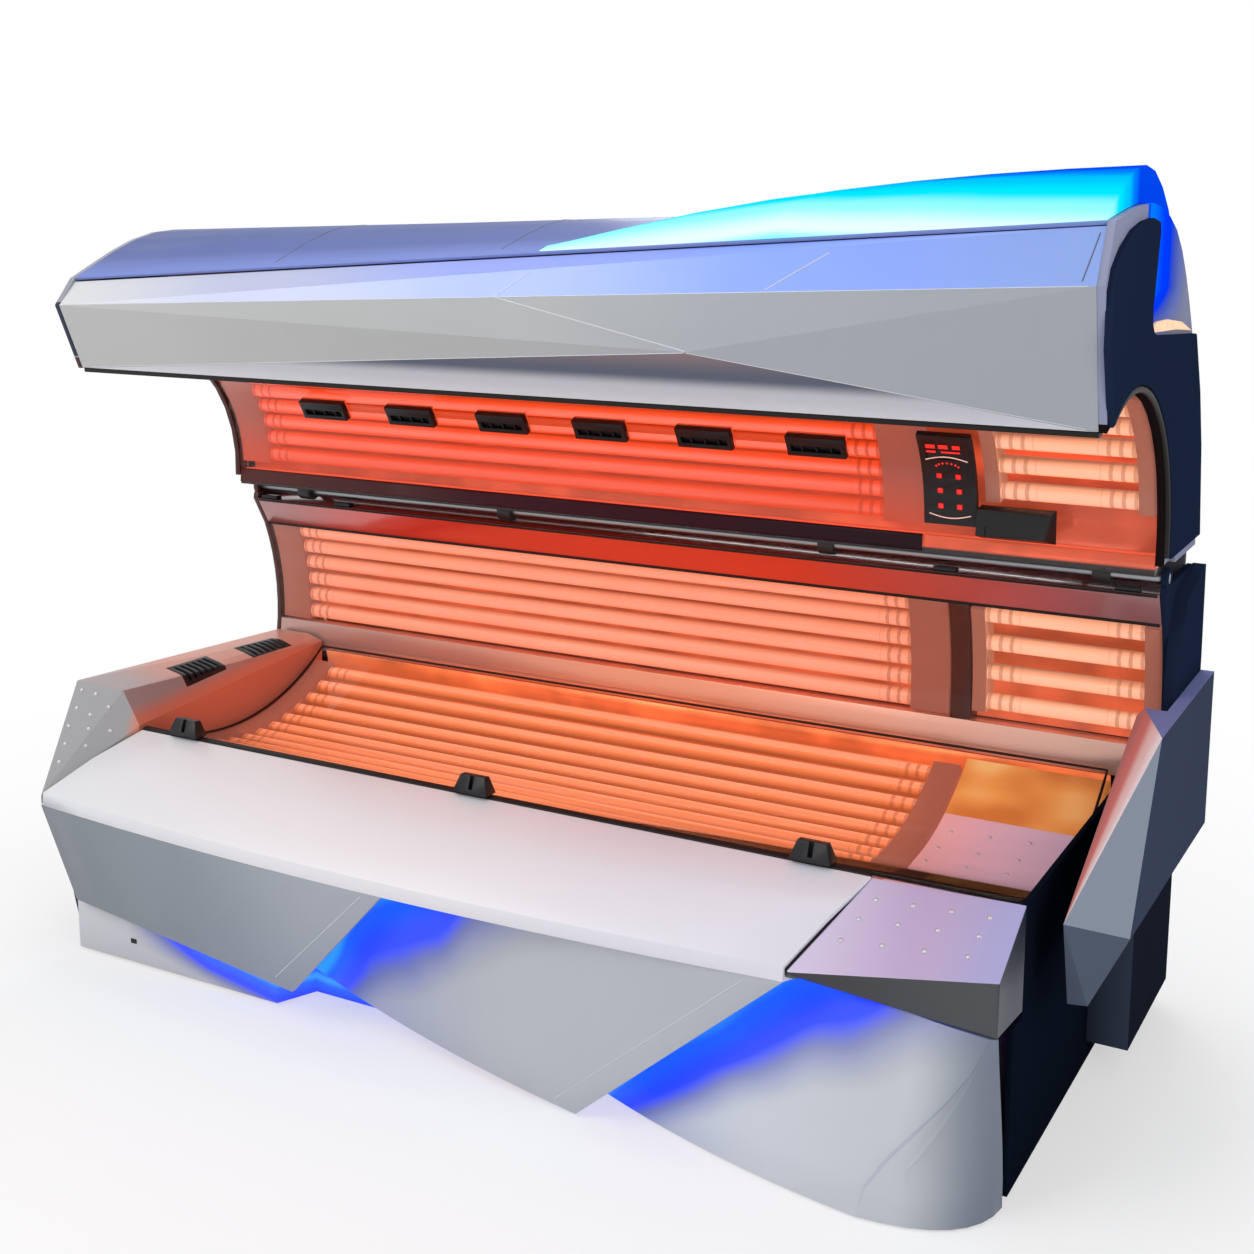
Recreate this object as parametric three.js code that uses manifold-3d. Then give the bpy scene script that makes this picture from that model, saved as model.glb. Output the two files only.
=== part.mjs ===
// Clamshell tanning bed: a bench, a fixed rear wall and a canopy that swings down over the user.
// Millimetres. X runs along the bed (+X is the head end), Y from front to back, Z up from the floor.
import * as THREE from 'three';
import { ConvexGeometry } from 'three/addons/geometries/ConvexGeometry.js';
import { mergeVertices } from 'three/addons/utils/BufferGeometryUtils.js';
import Module from 'manifold-3d';

const wasm = await Module();
wasm.setup();

const rad = THREE.MathUtils.degToRad;
const lerp = THREE.MathUtils.lerp;

// Overall
const LENGTH = 2415;            // left end of the canopy to the outer face of the side fin
const FIN_REACH = 55;           // side fin beyond the head end of the canopy
const DEPTH = 1110;             // front lip to rear cover
const GAP = 0.3;                // between neighbouring pieces
const SKIN = 6;                 // moulded outer skins
const END_PLATE = 14;           // end plates of canopy and wall
const SEGMENTS = 12;            // steps along a large arc
const SHEET_STEPS = 20;         // steps along the canopy sheet

// Ends, front and back; a station is a share of the canopy's length from its left end
const HOOD_LENGTH = LENGTH - FIN_REACH;
const LEFT = -LENGTH / 2;
const RIGHT = LEFT + HOOD_LENGTH;
const FRONT = -DEPTH / 2;
const REAR = DEPTH / 2;
const station = (share) => LEFT + share * HOOD_LENGTH;

// Canopy, drawn open
const TUNNEL_RADIUS = 336;      // inner face of the canopy sheet
const TUNNEL_Y = -122;
const TUNNEL_Z = 1091;
const ARC_START = -9;           // degrees, lower rear edge of the canopy sheet
const ARC_END = 119;            // degrees, front lip
const SHEET = 5;                // clear sheets
const LAMP_RADIUS = 19;
const LAMP_PITCH = 46;
const LAMP_DEPTH = 29;          // sheet face to lamp axis
const TRAY_DEPTH = 62;          // sheet face to reflector
const TRAY = 4;
const NOSE_REAR = -182;         // back of the front panel
const BAND_LEFT_Z = 1526;       // lower edge of the bright band, left and right
const BAND_RIGHT_Z = 1622;
const BROW_LEFT_Z = 1585;       // upper edge of the band
const BROW_RIGHT_Z = 1725;
const SCOOP_X = station(0.683); // peak of the triangular scoop
const SCOOP_Z = 1486;
const SCOOP_PUSH = 8;           // peak forward of the band
const FIN_LIGHT_START = station(0.537);  // left tip of the lit fin
const FIN_LIGHT_RISE = 62;
const CANOPY_REAR_Z = 1042;
const LIP_FORWARD = 17.1;       // front panel's lower edge, forward of and below the sheet's edge
const LIP_DROP = 6.9;

// Hinge and balance struts
const HINGE_Y = 300;
const HINGE_Z = 1015;
const SHAFT_RADIUS = 12;
const SHAFT_PLAY = 1;
const BOSS_RADIUS = 23;
const ARM_WIDTH = 36;
const ARM_STATIONS = [0.071, 0.334, 0.69, 0.944].map(station);
const CANOPY_SWING = 56;
const STRUT_CRANK = 150;
const STRUT_STATIONS = [LEFT + 131.5, RIGHT - 168.5];
const STRUT_LUG = 21;           // rod axis to canopy lug
const STRUT_PIN_RADIUS = 6;
const STRUT_ROD_RADIUS = 7;
const STRUT_BODY_RADIUS = 16;
const STRUT_BODY_LENGTH = 300;

// Rear wall
const WALL_FOOT_Y = 353;
const WALL_FOOT_Z = 645;
const WALL_MID_Y = 349;
const WALL_MID_Z = 780;
const WALL_TOP_Y = 315;
const WALL_TOP_Z = 912;
const WALL_LAMPS = 6;
const NOSE_TOP_Y = 275;
const NOSE_TOP_Z = 985;
const DIVIDER_X = RIGHT - 462.5;
const DIVIDER_WIDTH = 44;
const PANEL_WIDTH = 112;

// Bench
const BENCH_FRONT_Y = -318;
const BENCH_FRONT_Z = 545;
const BENCH_LOW_Y = 20;
const BENCH_LOW_Z = 468;
const BENCH_REAR_Y = 340;
const BENCH_REAR_Z = 596;
const END_CAP_LENGTH = 149;
const BENCH_LAMPS = 13;
const CATCH_STATIONS = [0.13, 0.467, 0.789].map(station);
const CATCH_WIDTH = 84;
const CATCH_SEAT = 5.4;         // underside of the catches above the sheet's front edge

// Base
const LIP_Z = 400;
const LIP_NOSE = 30;
const LIP_BULGE = 48;
const LIP_MID = station(0.402);  // where the lip stands furthest forward
const LIP_HALF = 0.396 * HOOD_LENGTH;
const BASE_LEFT = LEFT + 15.5;
const BASE_RIGHT = RIGHT - 90.5;
const BENCH_LEFT = BASE_LEFT + END_CAP_LENGTH;
const SIDE_SKIN = 12;
const REAR_SKIN = 12;
const SKIRT = 12;
const SKIRT_RECESS = 95;
const APRON = 10;
const RETURN_FLANGE = 128;      // apron shelf that roofs the recesses
const LEFT_EDGE_TOP = station(0.436);    // slanted edge of the left skirt
const LEFT_EDGE_FOOT = station(0.305);
const MID_EDGE_TOP = station(0.7985);    // slanted edge of the middle skirt
const MID_EDGE_FOOT = station(0.6134);
const PROW_X = BASE_RIGHT - 220;         // foot of the prow crease
const PROW_Y = FRONT + 3;
const TIP_X = BASE_RIGHT - 5;            // tip under the right shoulder
const TIP_Z = 346;
const LEFT_SKIRT_RISE = 138;    // floor clearance at the left end
const FOOT_HEIGHT = 34;
const FOOT_RADIUS = 24;
const FAN_RADIUS = 105;
const FAN_BLADES = 7;
const FAN_SHAFT = 8;
const RUNNING_FIT = 0.1;

// Derived lines
const REAR_INNER = REAR - REAR_SKIN - GAP;
const BENCH_RIGHT = BASE_RIGHT - SIDE_SKIN - GAP;
const IN_LEFT = LEFT + END_PLATE + GAP;
const IN_RIGHT = RIGHT - END_PLATE - GAP;
const v2 = (x, y) => new THREE.Vector2(x, y);
const SKIRT_TOP = LIP_Z - LIP_NOSE / 2 - GAP;
const lipY = (x) => FRONT + LIP_BULGE * ((x - LIP_MID) / LIP_HALF) ** 2;

// Solids: every geometry becomes one closed body that can be added, cut or kept
function solid(geometry) {
  const plain = new THREE.BufferGeometry();
  plain.setAttribute('position', geometry.getAttribute('position').clone());
  if (geometry.index) plain.setIndex(geometry.index.clone());
  const merged = mergeVertices(plain, 1e-4);
  const vertProperties = new Float32Array(merged.getAttribute('position').array);
  const triVerts = new Uint32Array(merged.index.array);
  return new wasm.Manifold(new wasm.Mesh({ numProp: 3, vertProperties, triVerts }));
}

const hull = (points) => solid(new ConvexGeometry(points.map((p) => new THREE.Vector3(...p))));
const block = (x0, x1, y0, y1, z0, z1) => {
  const box = new THREE.BoxGeometry(x1 - x0, y1 - y0, z1 - z0);
  box.translate((x0 + x1) / 2, (y0 + y1) / 2, (z0 + z1) / 2);
  return solid(box);
};
const fuse = (parts) => parts.reduce((a, b) => a.add(b));

// An outline in (y, z) drawn out along X
function alongX(outline, x0, x1) {
  const geometry = new THREE.ExtrudeGeometry(new THREE.Shape(outline), { depth: x1 - x0, bevelEnabled: false });
  const basis = new THREE.Matrix4().makeBasis(
    new THREE.Vector3(0, 1, 0), new THREE.Vector3(0, 0, 1), new THREE.Vector3(1, 0, 0));
  geometry.applyMatrix4(basis);
  geometry.translate(x0, 0, 0);
  return solid(geometry);
}

// An outline in (x, y) drawn up along Z
function alongZ(outline, z0, z1) {
  const geometry = new THREE.ExtrudeGeometry(new THREE.Shape(outline), { depth: z1 - z0, bevelEnabled: false });
  geometry.translate(0, 0, z0);
  return solid(geometry);
}

function rod(radius, length, axis, centre, sides = 20) {
  const geometry = new THREE.CylinderGeometry(radius, radius, length, sides);
  if (axis === 'x') geometry.rotateZ(-Math.PI / 2);
  if (axis === 'z') geometry.rotateX(Math.PI / 2);
  geometry.translate(...centre);
  return solid(geometry);
}

// A loft through closed rings of equal length, with flat ends
function loft(sections) {
  const turned = THREE.ShapeUtils.isClockWise(sections[0].map((p) => v2(p[1], p[2])));
  const rings = turned ? sections.map((ring) => [...ring].reverse()) : sections;
  const count = rings[0].length;
  const position = rings.flat(2);
  const index = [];
  for (let k = 0; k < rings.length - 1; k++) {
    for (let i = 0; i < count; i++) {
      const a = k * count + i;
      const b = k * count + (i + 1) % count;
      index.push(a, b, a + count, b, b + count, a + count);
    }
  }
  const flat = rings[0].map((p) => v2(p[1], p[2]));
  const caps = THREE.ShapeUtils.triangulateShape(flat, []);
  const last = (rings.length - 1) * count;
  for (const [a, b, c] of caps) {
    index.push(a, c, b);
    index.push(last + a, last + b, last + c);
  }
  const geometry = new THREE.BufferGeometry();
  geometry.setAttribute('position', new THREE.Float32BufferAttribute(position, 3));
  geometry.setIndex(index);
  const body = solid(geometry);
  return body.volume() >= 0 ? body : solid(flip(geometry));
}

function flip(geometry) {
  const index = geometry.index.array;
  for (let i = 0; i < index.length; i += 3) {
    const keep = index[i];
    index[i] = index[i + 1];
    index[i + 1] = keep;
  }
  return geometry;
}

// A skin: a surface point(u, v) given thickness along one direction
function skin(point, nu, nv, shift) {
  const position = [];
  const index = [];
  const row = nv + 1;
  const side = (nu + 1) * row;
  for (let layer = 0; layer < 2; layer++) {
    for (let i = 0; i <= nu; i++) {
      for (let j = 0; j <= nv; j++) {
        const p = point(i / nu, j / nv);
        position.push(p[0] + shift[0] * layer, p[1] + shift[1] * layer, p[2] + shift[2] * layer);
      }
    }
  }
  const quad = (a, b, c, d) => index.push(a, b, c, a, c, d);
  for (let i = 0; i < nu; i++) {
    for (let j = 0; j < nv; j++) {
      const a = i * row + j;
      quad(a, a + row, a + row + 1, a + 1);
      quad(side + a, side + a + 1, side + a + row + 1, side + a + row);
    }
  }
  for (let i = 0; i < nu; i++) {
    const a = i * row;
    quad(a, side + a, side + a + row, a + row);
    const b = a + nv;
    quad(b, b + row, side + b + row, side + b);
  }
  for (let j = 0; j < nv; j++) {
    quad(j, j + 1, side + j + 1, side + j);
    const b = nu * row + j;
    quad(b, side + b, side + b + 1, b + 1);
  }
  const geometry = new THREE.BufferGeometry();
  geometry.setAttribute('position', new THREE.Float32BufferAttribute(position, 3));
  geometry.setIndex(index);
  const body = solid(geometry);
  return body.volume() >= 0 ? body : solid(flip(geometry));
}

// Arcs: a circle through three points, and a band between two radii
function circleThrough(a, b, c) {
  const d = 2 * (a.x * (b.y - c.y) + b.x * (c.y - a.y) + c.x * (a.y - b.y));
  const s = [a, b, c].map((p) => p.x * p.x + p.y * p.y);
  const x = (s[0] * (b.y - c.y) + s[1] * (c.y - a.y) + s[2] * (a.y - b.y)) / d;
  const y = (s[0] * (c.x - b.x) + s[1] * (a.x - c.x) + s[2] * (b.x - a.x)) / d;
  const centre = v2(x, y);
  const angle = (p) => Math.atan2(p.y - y, p.x - x);
  return { centre, radius: centre.distanceTo(a), from: angle(a), to: angle(c) };
}

const onArc = (arc, radius, angle) =>
  v2(arc.centre.x + radius * Math.cos(angle), arc.centre.y + radius * Math.sin(angle));

function band(arc, inner, outer, from, to, steps = SEGMENTS) {
  const outline = [];
  for (let i = 0; i <= steps; i++) outline.push(onArc(arc, inner, lerp(from, to, i / steps)));
  for (let i = steps; i >= 0; i--) outline.push(onArc(arc, outer, lerp(from, to, i / steps)));
  return outline;
}

const tunnel = {
  centre: v2(TUNNEL_Y, TUNNEL_Z), radius: TUNNEL_RADIUS, from: rad(ARC_START), to: rad(ARC_END),
};
const wallArc = circleThrough(
  v2(WALL_FOOT_Y, WALL_FOOT_Z), v2(WALL_MID_Y, WALL_MID_Z), v2(WALL_TOP_Y, WALL_TOP_Z));
const benchArc = circleThrough(
  v2(BENCH_FRONT_Y, BENCH_FRONT_Z), v2(BENCH_LOW_Y, BENCH_LOW_Z), v2(BENCH_REAR_Y, BENCH_REAR_Z));

// Lamps along X between two holder strips that follow the arc
function lampBank(arc, first, pitch, count, x0, x1, strip) {
  const axis = arc.radius + LAMP_DEPTH;
  const step = pitch / axis * Math.sign(arc.to - arc.from);
  const angles = Array.from({ length: count }, (_, i) => first + step * i);
  const edge = (LAMP_RADIUS + 3) / axis * Math.sign(step);
  const from = first - edge;
  const to = angles[count - 1] + edge;
  const facet = Math.abs(arc.to - arc.from) / SEGMENTS / 2;
  const seat = (arc.radius + TRAY_DEPTH) * Math.cos(facet) - GAP;
  const parts = [];
  for (const x of [x0, x1 - strip]) {
    parts.push(alongX(band(arc, axis - LAMP_RADIUS - 3, seat, from, to), x, x + strip));
  }
  for (const angle of angles) {
    const p = onArc(arc, axis, angle);
    parts.push(rod(LAMP_RADIUS, x1 - x0 - strip, 'x', [(x0 + x1) / 2, p.x, p.y], 8));
  }
  return fuse(parts);
}

// The assembly
const bed = new THREE.Group();
bed.name = 'tanning_bed';

function add(name, body, color, roughness, metalness = 0) {
  const { vertProperties, triVerts, numProp } = body.getMesh();
  const position = new Float32Array(vertProperties.length / numProp * 3);
  for (let i = 0; i < position.length / 3; i++) {
    position.set(vertProperties.subarray(i * numProp, i * numProp + 3), i * 3);
  }
  const geometry = new THREE.BufferGeometry();
  geometry.setAttribute('position', new THREE.BufferAttribute(position, 3));
  geometry.setIndex(new THREE.BufferAttribute(new Uint32Array(triVerts), 1));
  geometry.computeVertexNormals();
  const mesh = new THREE.Mesh(geometry, new THREE.MeshStandardMaterial({ color, roughness, metalness }));
  mesh.name = name;
  bed.add(mesh);
}

const SILVER = '#cfd2da';
const GREY = '#a2a7b4';
const WHITE = '#e9eaf0';
const NAVY = '#161c2c';
const BLACK = '#0c0c10';
const STEEL = '#8f949c';
const REFLECTOR = '#d89a7c';
const LAMP = '#ff8450';
const CLEAR = '#f3d6c6';
const BLUE = '#2b6bff';

// Canopy: outer profile from the brow over the top to the rear edge
const browZ = (x) => lerp(BROW_LEFT_Z, BROW_RIGHT_Z, (x - LEFT) / HOOD_LENGTH);
const bandZ = (x) => lerp(BAND_LEFT_Z, BAND_RIGHT_Z, (x - LEFT) / HOOD_LENGTH);
const BROW_Y = -312;
const BAND_Y = -362;
const lipEdge = onArc(tunnel, TUNNEL_RADIUS, tunnel.to);
const LIP_Y = lipEdge.x - LIP_FORWARD;
const CANOPY_LIP_Z = lipEdge.y - LIP_DROP;
const TOP_STEPS = 18;
function topCurve(x) {
  const rise = browZ(x) - BROW_LEFT_Z;
  return new THREE.SplineCurve([
    v2(BROW_Y, browZ(x)), v2(-120, 1668 + rise * 0.58), v2(40, 1690 + rise * 0.4),
    v2(220, 1650 + rise * 0.2), v2(388, 1490), v2(500, 1260), v2(REAR - 8, CANOPY_REAR_Z),
  ]);
}
const topProfile = (x) => topCurve(x).getSpacedPoints(TOP_STEPS);
function inward(points, distance) {
  return points.map((p) => {
    const d = v2(TUNNEL_Y + 60 - p.x, TUNNEL_Z - p.y).normalize();
    return p.clone().addScaledVector(d, distance);
  });
}

// Strut pin on the canopy: half the swing below the hinge axis, so the rod runs straight
const strutDrop = rad(CANOPY_SWING / 2);
const pinY = HINGE_Y + STRUT_CRANK * Math.cos(strutDrop);
const pinZ = HINGE_Z - STRUT_CRANK * Math.sin(strutDrop);

const TOP_STATIONS = 8;
const FLANGE_Y = HINGE_Y + 62;
const topRings = [];
for (let k = 0; k <= TOP_STATIONS; k++) {
  const x = lerp(IN_LEFT, IN_RIGHT, k / TOP_STATIONS);
  const outer = topProfile(x);
  const inner = inward(outer.slice(0, -1), SKIN);
  const ring = [
    ...outer, v2(FLANGE_Y, CANOPY_REAR_Z), v2(FLANGE_Y, CANOPY_REAR_Z + SKIN),
    v2(REAR - 8 - SKIN, CANOPY_REAR_Z + SKIN), ...inner.reverse(),
  ];
  topRings.push(ring.map((p) => [x, p.x, p.y]));
}
let canopyTop = loft(topRings);
for (const station of STRUT_STATIONS) {
  const x = station - STRUT_LUG;
  canopyTop = canopyTop.subtract(block(x - 9, x + 9, FLANGE_Y - 10, pinY + 40, CANOPY_REAR_Z - 10, CANOPY_REAR_Z + 20));
}
add('canopy_top', canopyTop, '#8f9bb4', 0.22, 0.35);

// Lit fin: a lens that grows along the brow towards the head end
const FIN_SPAN = 0.42;          // share of the top profile that it covers at the head end
const FIN_STEPS = 8;
const FIN_STATIONS = 8;
const finRings = [];
for (let k = 0; k <= FIN_STATIONS; k++) {
  const t = k / FIN_STATIONS;
  const curve = topCurve(lerp(FIN_LIGHT_START, IN_RIGHT, t));
  const span = FIN_SPAN * (0.06 + 0.94 * Math.sin(t * Math.PI / 2));
  const under = Array.from({ length: FIN_STEPS + 1 }, (_, i) => curve.getPointAt(span * i / FIN_STEPS));
  const base = inward(under, -2);
  const crown = under.map((p, i) => {
    const bump = 4 + FIN_LIGHT_RISE * Math.sin(t * Math.PI / 2) * Math.sin(Math.PI * i / FIN_STEPS);
    return inward([p], -bump)[0];
  });
  const x = lerp(FIN_LIGHT_START, IN_RIGHT, t);
  finRings.push([...base, ...crown.reverse()].map((p) => [x, p.x, p.y]));
}
add('canopy_light_fin', loft(finRings), BLUE, 0.15);

// Front panel: faceted nose with the bright band and the triangular scoop
const nose = hull([
  [IN_LEFT, BAND_Y, bandZ(LEFT)], [IN_RIGHT, BAND_Y, bandZ(RIGHT)],
  [IN_LEFT, BROW_Y, browZ(LEFT) - SKIN - 2], [IN_RIGHT, BROW_Y, browZ(RIGHT) - SKIN - 2],
  [IN_LEFT, LIP_Y, CANOPY_LIP_Z], [IN_RIGHT, LIP_Y, CANOPY_LIP_Z],
  [SCOOP_X, BAND_Y - SCOOP_PUSH, SCOOP_Z],
  [IN_LEFT, NOSE_REAR, browZ(LEFT) - 20], [IN_RIGHT, NOSE_REAR, browZ(RIGHT) - 20],
  [IN_LEFT, NOSE_REAR, CANOPY_LIP_Z + 20], [IN_RIGHT, NOSE_REAR, CANOPY_LIP_Z + 20],
]);
const tunnelCore = rod(TUNNEL_RADIUS + SHEET + GAP, LENGTH, 'x', [0, TUNNEL_Y, TUNNEL_Z], 64);
const noseHollow = hull([
  [IN_LEFT + SKIN, BAND_Y + 26, bandZ(LEFT) - 6], [IN_RIGHT - SKIN, BAND_Y + 26, bandZ(RIGHT) - 6],
  [IN_LEFT + SKIN, NOSE_REAR + 1, browZ(LEFT) - 40], [IN_RIGHT - SKIN, NOSE_REAR + 1, browZ(RIGHT) - 40],
  [IN_LEFT + SKIN, NOSE_REAR + 1, CANOPY_LIP_Z + 80], [IN_RIGHT - SKIN, NOSE_REAR + 1, CANOPY_LIP_Z + 80],
  [IN_LEFT + SKIN, BAND_Y + 40, CANOPY_LIP_Z + 80], [IN_RIGHT - SKIN, BAND_Y + 40, CANOPY_LIP_Z + 80],
]);
add('canopy_front', nose.subtract(tunnelCore).subtract(noseHollow), SILVER, 0.28, 0.45);

// Inner sheet with a window for each nozzle
const NOZZLES = 6;
const NOZZLE_STATIONS = Array.from({ length: NOZZLES }, (_, i) => lerp(station(0.143), station(0.699), i / (NOZZLES - 1)));
const NOZZLE_LENGTH = 132;
const NOZZLE_HEIGHT = 50;
const NOZZLE_ANGLE = rad(29);
const NOZZLE_DEPTH = 26;
const nozzleHalf = NOZZLE_HEIGHT / 2 / TUNNEL_RADIUS;
const nozzleBand = (play) => band(
  tunnel, TUNNEL_RADIUS - NOZZLE_DEPTH / 2 - play, TUNNEL_RADIUS + NOZZLE_DEPTH / 2 - 5 + play,
  NOZZLE_ANGLE - nozzleHalf - play / TUNNEL_RADIUS, NOZZLE_ANGLE + nozzleHalf + play / TUNNEL_RADIUS, 3);
let canopySheet = alongX(
  band(tunnel, TUNNEL_RADIUS, TUNNEL_RADIUS + SHEET, tunnel.from, tunnel.to, SHEET_STEPS), IN_LEFT, IN_RIGHT);
const nozzles = [];
for (const x of NOZZLE_STATIONS) {
  const half = NOZZLE_LENGTH / 2;
  canopySheet = canopySheet.subtract(alongX(nozzleBand(GAP), x - half - GAP, x + half + GAP));
  let nozzle = alongX(nozzleBand(0), x - half, x + half);
  const mouth = band(
    tunnel, TUNNEL_RADIUS - NOZZLE_DEPTH, TUNNEL_RADIUS - 2,
    NOZZLE_ANGLE - nozzleHalf * 0.55, NOZZLE_ANGLE + nozzleHalf * 0.1, 2);
  nozzle = nozzle.subtract(alongX(mouth, x - half + 10, x + half - 10));
  for (const rib of [-1, 0, 1]) {
    const at = x + rib * NOZZLE_LENGTH / 4;
    nozzle = nozzle.add(alongX(band(tunnel, TUNNEL_RADIUS - 9, TUNNEL_RADIUS - 1,
      NOZZLE_ANGLE - nozzleHalf * 0.6, NOZZLE_ANGLE + nozzleHalf * 0.2, 2), at - 2, at + 2));
  }
  nozzles.push(nozzle);
}
const ductTurn = 8 / TUNNEL_RADIUS;
nozzles.push(alongX(band(tunnel, TUNNEL_RADIUS + SHEET + GAP, TUNNEL_RADIUS + SHEET + 3.5,
  NOZZLE_ANGLE - ductTurn, NOZZLE_ANGLE + ductTurn, 2), NOZZLE_STATIONS[0], NOZZLE_STATIONS.at(-1)));
add('air_nozzles', fuse(nozzles), BLACK, 0.45);
add('canopy_sheet', canopySheet, CLEAR, 0.06);

// Reflector tray with its lower rail, hinge arms and strut lugs
const TRAY_END = rad(96);
const trayRadius = TUNNEL_RADIUS + TRAY_DEPTH;
const trayBack = TUNNEL_Y + trayRadius;
const railTop = rad(-3);
const railFrom = tunnel.from - rad(0.6);
let tray = alongX(band(tunnel, trayRadius, trayRadius + TRAY, railTop - 0.005, TRAY_END), IN_LEFT, IN_RIGHT);
tray = tray.add(alongX(
  band(tunnel, TUNNEL_RADIUS + SHEET + GAP, trayRadius + TRAY, railFrom, railTop, 2), IN_LEFT, IN_RIGHT));
for (const x of ARM_STATIONS) {
  const half = ARM_WIDTH / 2;
  const arm = alongX([
    v2(HINGE_Y - BOSS_RADIUS + 4, HINGE_Z + 6), v2(HINGE_Y + BOSS_RADIUS - 1, HINGE_Z + 2),
    v2(trayBack + 40, HINGE_Z + 120), v2(trayBack + 4, HINGE_Z + 130), v2(trayBack, HINGE_Z + 40),
  ], x - half, x + half);
  tray = fuse([tray, arm, rod(BOSS_RADIUS, ARM_WIDTH, 'x', [x, HINGE_Y, HINGE_Z], 24)]);
}
for (const station of STRUT_STATIONS) {
  const x = station - STRUT_LUG;
  const lug = alongX([
    v2(pinY - 15, pinZ - 14), v2(pinY + 15, pinZ - 14), v2(pinY + 22, HINGE_Z + 60),
    v2(trayBack + 34, HINGE_Z + 128), v2(trayBack - 2, HINGE_Z + 128), v2(trayBack - 2, HINGE_Z + 96),
    v2(pinY - 12, HINGE_Z + 34),
  ], x - 5, x + 5);
  const pin = rod(STRUT_PIN_RADIUS, 40, 'x', [x + 15, pinY, pinZ], 16);
  tray = fuse([tray, lug, pin]);
}
const shaftBore = rod(SHAFT_RADIUS + SHAFT_PLAY, LENGTH, 'x', [0, HINGE_Y, HINGE_Z], 24);
tray = tray.subtract(shaftBore);
add('canopy_tray', tray, REFLECTOR, 0.25, 0.8);

// Canopy lamps: body zone and face zone either side of the control panel
const PANEL_X0 = RIGHT - 480.5;
const PANEL_X1 = PANEL_X0 + PANEL_WIDTH;
add('canopy_lamps', lampBank(tunnel, rad(4), LAMP_PITCH, 12, IN_LEFT + 6, PANEL_X0 - 8, 88), LAMP, 0.4);
add('canopy_face_lamps', lampBank(tunnel, rad(14), 60, 6, PANEL_X1 + 12, IN_RIGHT - 6, 30), LAMP, 0.4);

// Canopy ends: plates with the arch, the head end in navy
function canopyEnd(x0, x1, profileX) {
  const outer = topProfile(profileX);
  const outline = [
    ...outer,
    v2(HINGE_Y + 40, CANOPY_REAR_Z), v2(HINGE_Y + 34, HINGE_Z + 44), v2(HINGE_Y - 14, HINGE_Z + 44),
  ];
  for (let i = 0; i <= SEGMENTS; i++) {
    outline.push(onArc(tunnel, TUNNEL_RADIUS - 1, lerp(tunnel.from + rad(3), tunnel.to, i / SEGMENTS)));
  }
  outline.push(v2(LIP_Y, CANOPY_LIP_Z), v2(BAND_Y, bandZ(profileX)));
  return alongX(outline, x0, x1);
}
add('canopy_end_right', canopyEnd(RIGHT - END_PLATE, RIGHT, RIGHT), NAVY, 0.25, 0.2);
add('canopy_end_left', canopyEnd(LEFT, LEFT + END_PLATE, LEFT), GREY, 0.3, 0.3);

// Black lip trim under the front edge
add('canopy_lip', alongX([
  v2(LIP_Y + 2, CANOPY_LIP_Z + 1.6), v2(LIP_Y + 4, CANOPY_LIP_Z - 9), v2(lipEdge.x + 14, CANOPY_LIP_Z - 9),
  v2(lipEdge.x + 16, CANOPY_LIP_Z + 1.6),
], IN_LEFT, IN_RIGHT), BLACK, 0.4);

// Control panel with its keys on the canopy sheet
const PANEL_FROM = rad(2);
const PANEL_TO = rad(39);
const PANEL_THICK = 13;
const KEY_TRAVEL = 1;
const KEY_SIZE = 11;
const KEY_ROWS = 3;
const KEY_COLUMNS = 2;
const panelOuter = TUNNEL_RADIUS * Math.cos(rad(ARC_END - ARC_START) / SHEET_STEPS / 2) - GAP;
const panelInner = panelOuter - PANEL_THICK;
let panel = alongX(band(tunnel, panelInner, panelOuter, PANEL_FROM, PANEL_TO, 6), PANEL_X0, PANEL_X1);
const displayWindow = alongX(band(tunnel, panelInner - 1, panelInner + 3, rad(28), rad(36), 2),
  PANEL_X0 + 14, PANEL_X1 - 14);
panel = panel.subtract(displayWindow);
const keys = [];
for (let r = 0; r < KEY_ROWS; r++) {
  for (let k = 0; k < KEY_COLUMNS; k++) {
    const x = lerp(PANEL_X0 + 36, PANEL_X1 - 36, k / (KEY_COLUMNS - 1));
    const angle = rad(9 + r * 6);
    const half = KEY_SIZE / 2;
    const turn = half / panelInner;
    const slot = alongX(band(tunnel, panelInner - 2, panelInner + 7, angle - turn - GAP / panelInner,
      angle + turn + GAP / panelInner, 1), x - half - GAP, x + half + GAP);
    panel = panel.subtract(slot);
    keys.push(alongX(band(tunnel, panelInner - 2, panelInner + 7 - KEY_TRAVEL - 0.5,
      angle - turn, angle + turn, 1), x - half, x + half));
  }
}
add('control_panel', panel, BLACK, 0.2);
keys.forEach((key, i) => add(`key_${i + 1}`, key, '#c0302a', 0.35));

// Outlet box beside the panel
const boxAt = (r, deg) => onArc(tunnel, r, rad(deg));
const boxPoints = [];
for (const [x, r, deg] of [
  [PANEL_X1 + 6, 1, -2], [PANEL_X1 + 6, 1, 10], [PANEL_X1 + 160, 1, -2], [PANEL_X1 + 160, 1, 10],
  [PANEL_X1 + 6, 44, 0], [PANEL_X1 + 6, 30, 10], [PANEL_X1 + 140, 36, 0], [PANEL_X1 + 150, 22, 9],
]) {
  const p = boxAt(TUNNEL_RADIUS - r, deg);
  boxPoints.push([x, p.x, p.y]);
}
const outletMouth = block(PANEL_X1 + 24, PANEL_X1 + 124,
  TUNNEL_Y + TUNNEL_RADIUS - 64, TUNNEL_Y + TUNNEL_RADIUS - 36, TUNNEL_Z - 31, TUNNEL_Z + 19);
add('face_outlet', hull(boxPoints).subtract(outletMouth), BLACK, 0.4);

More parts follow.
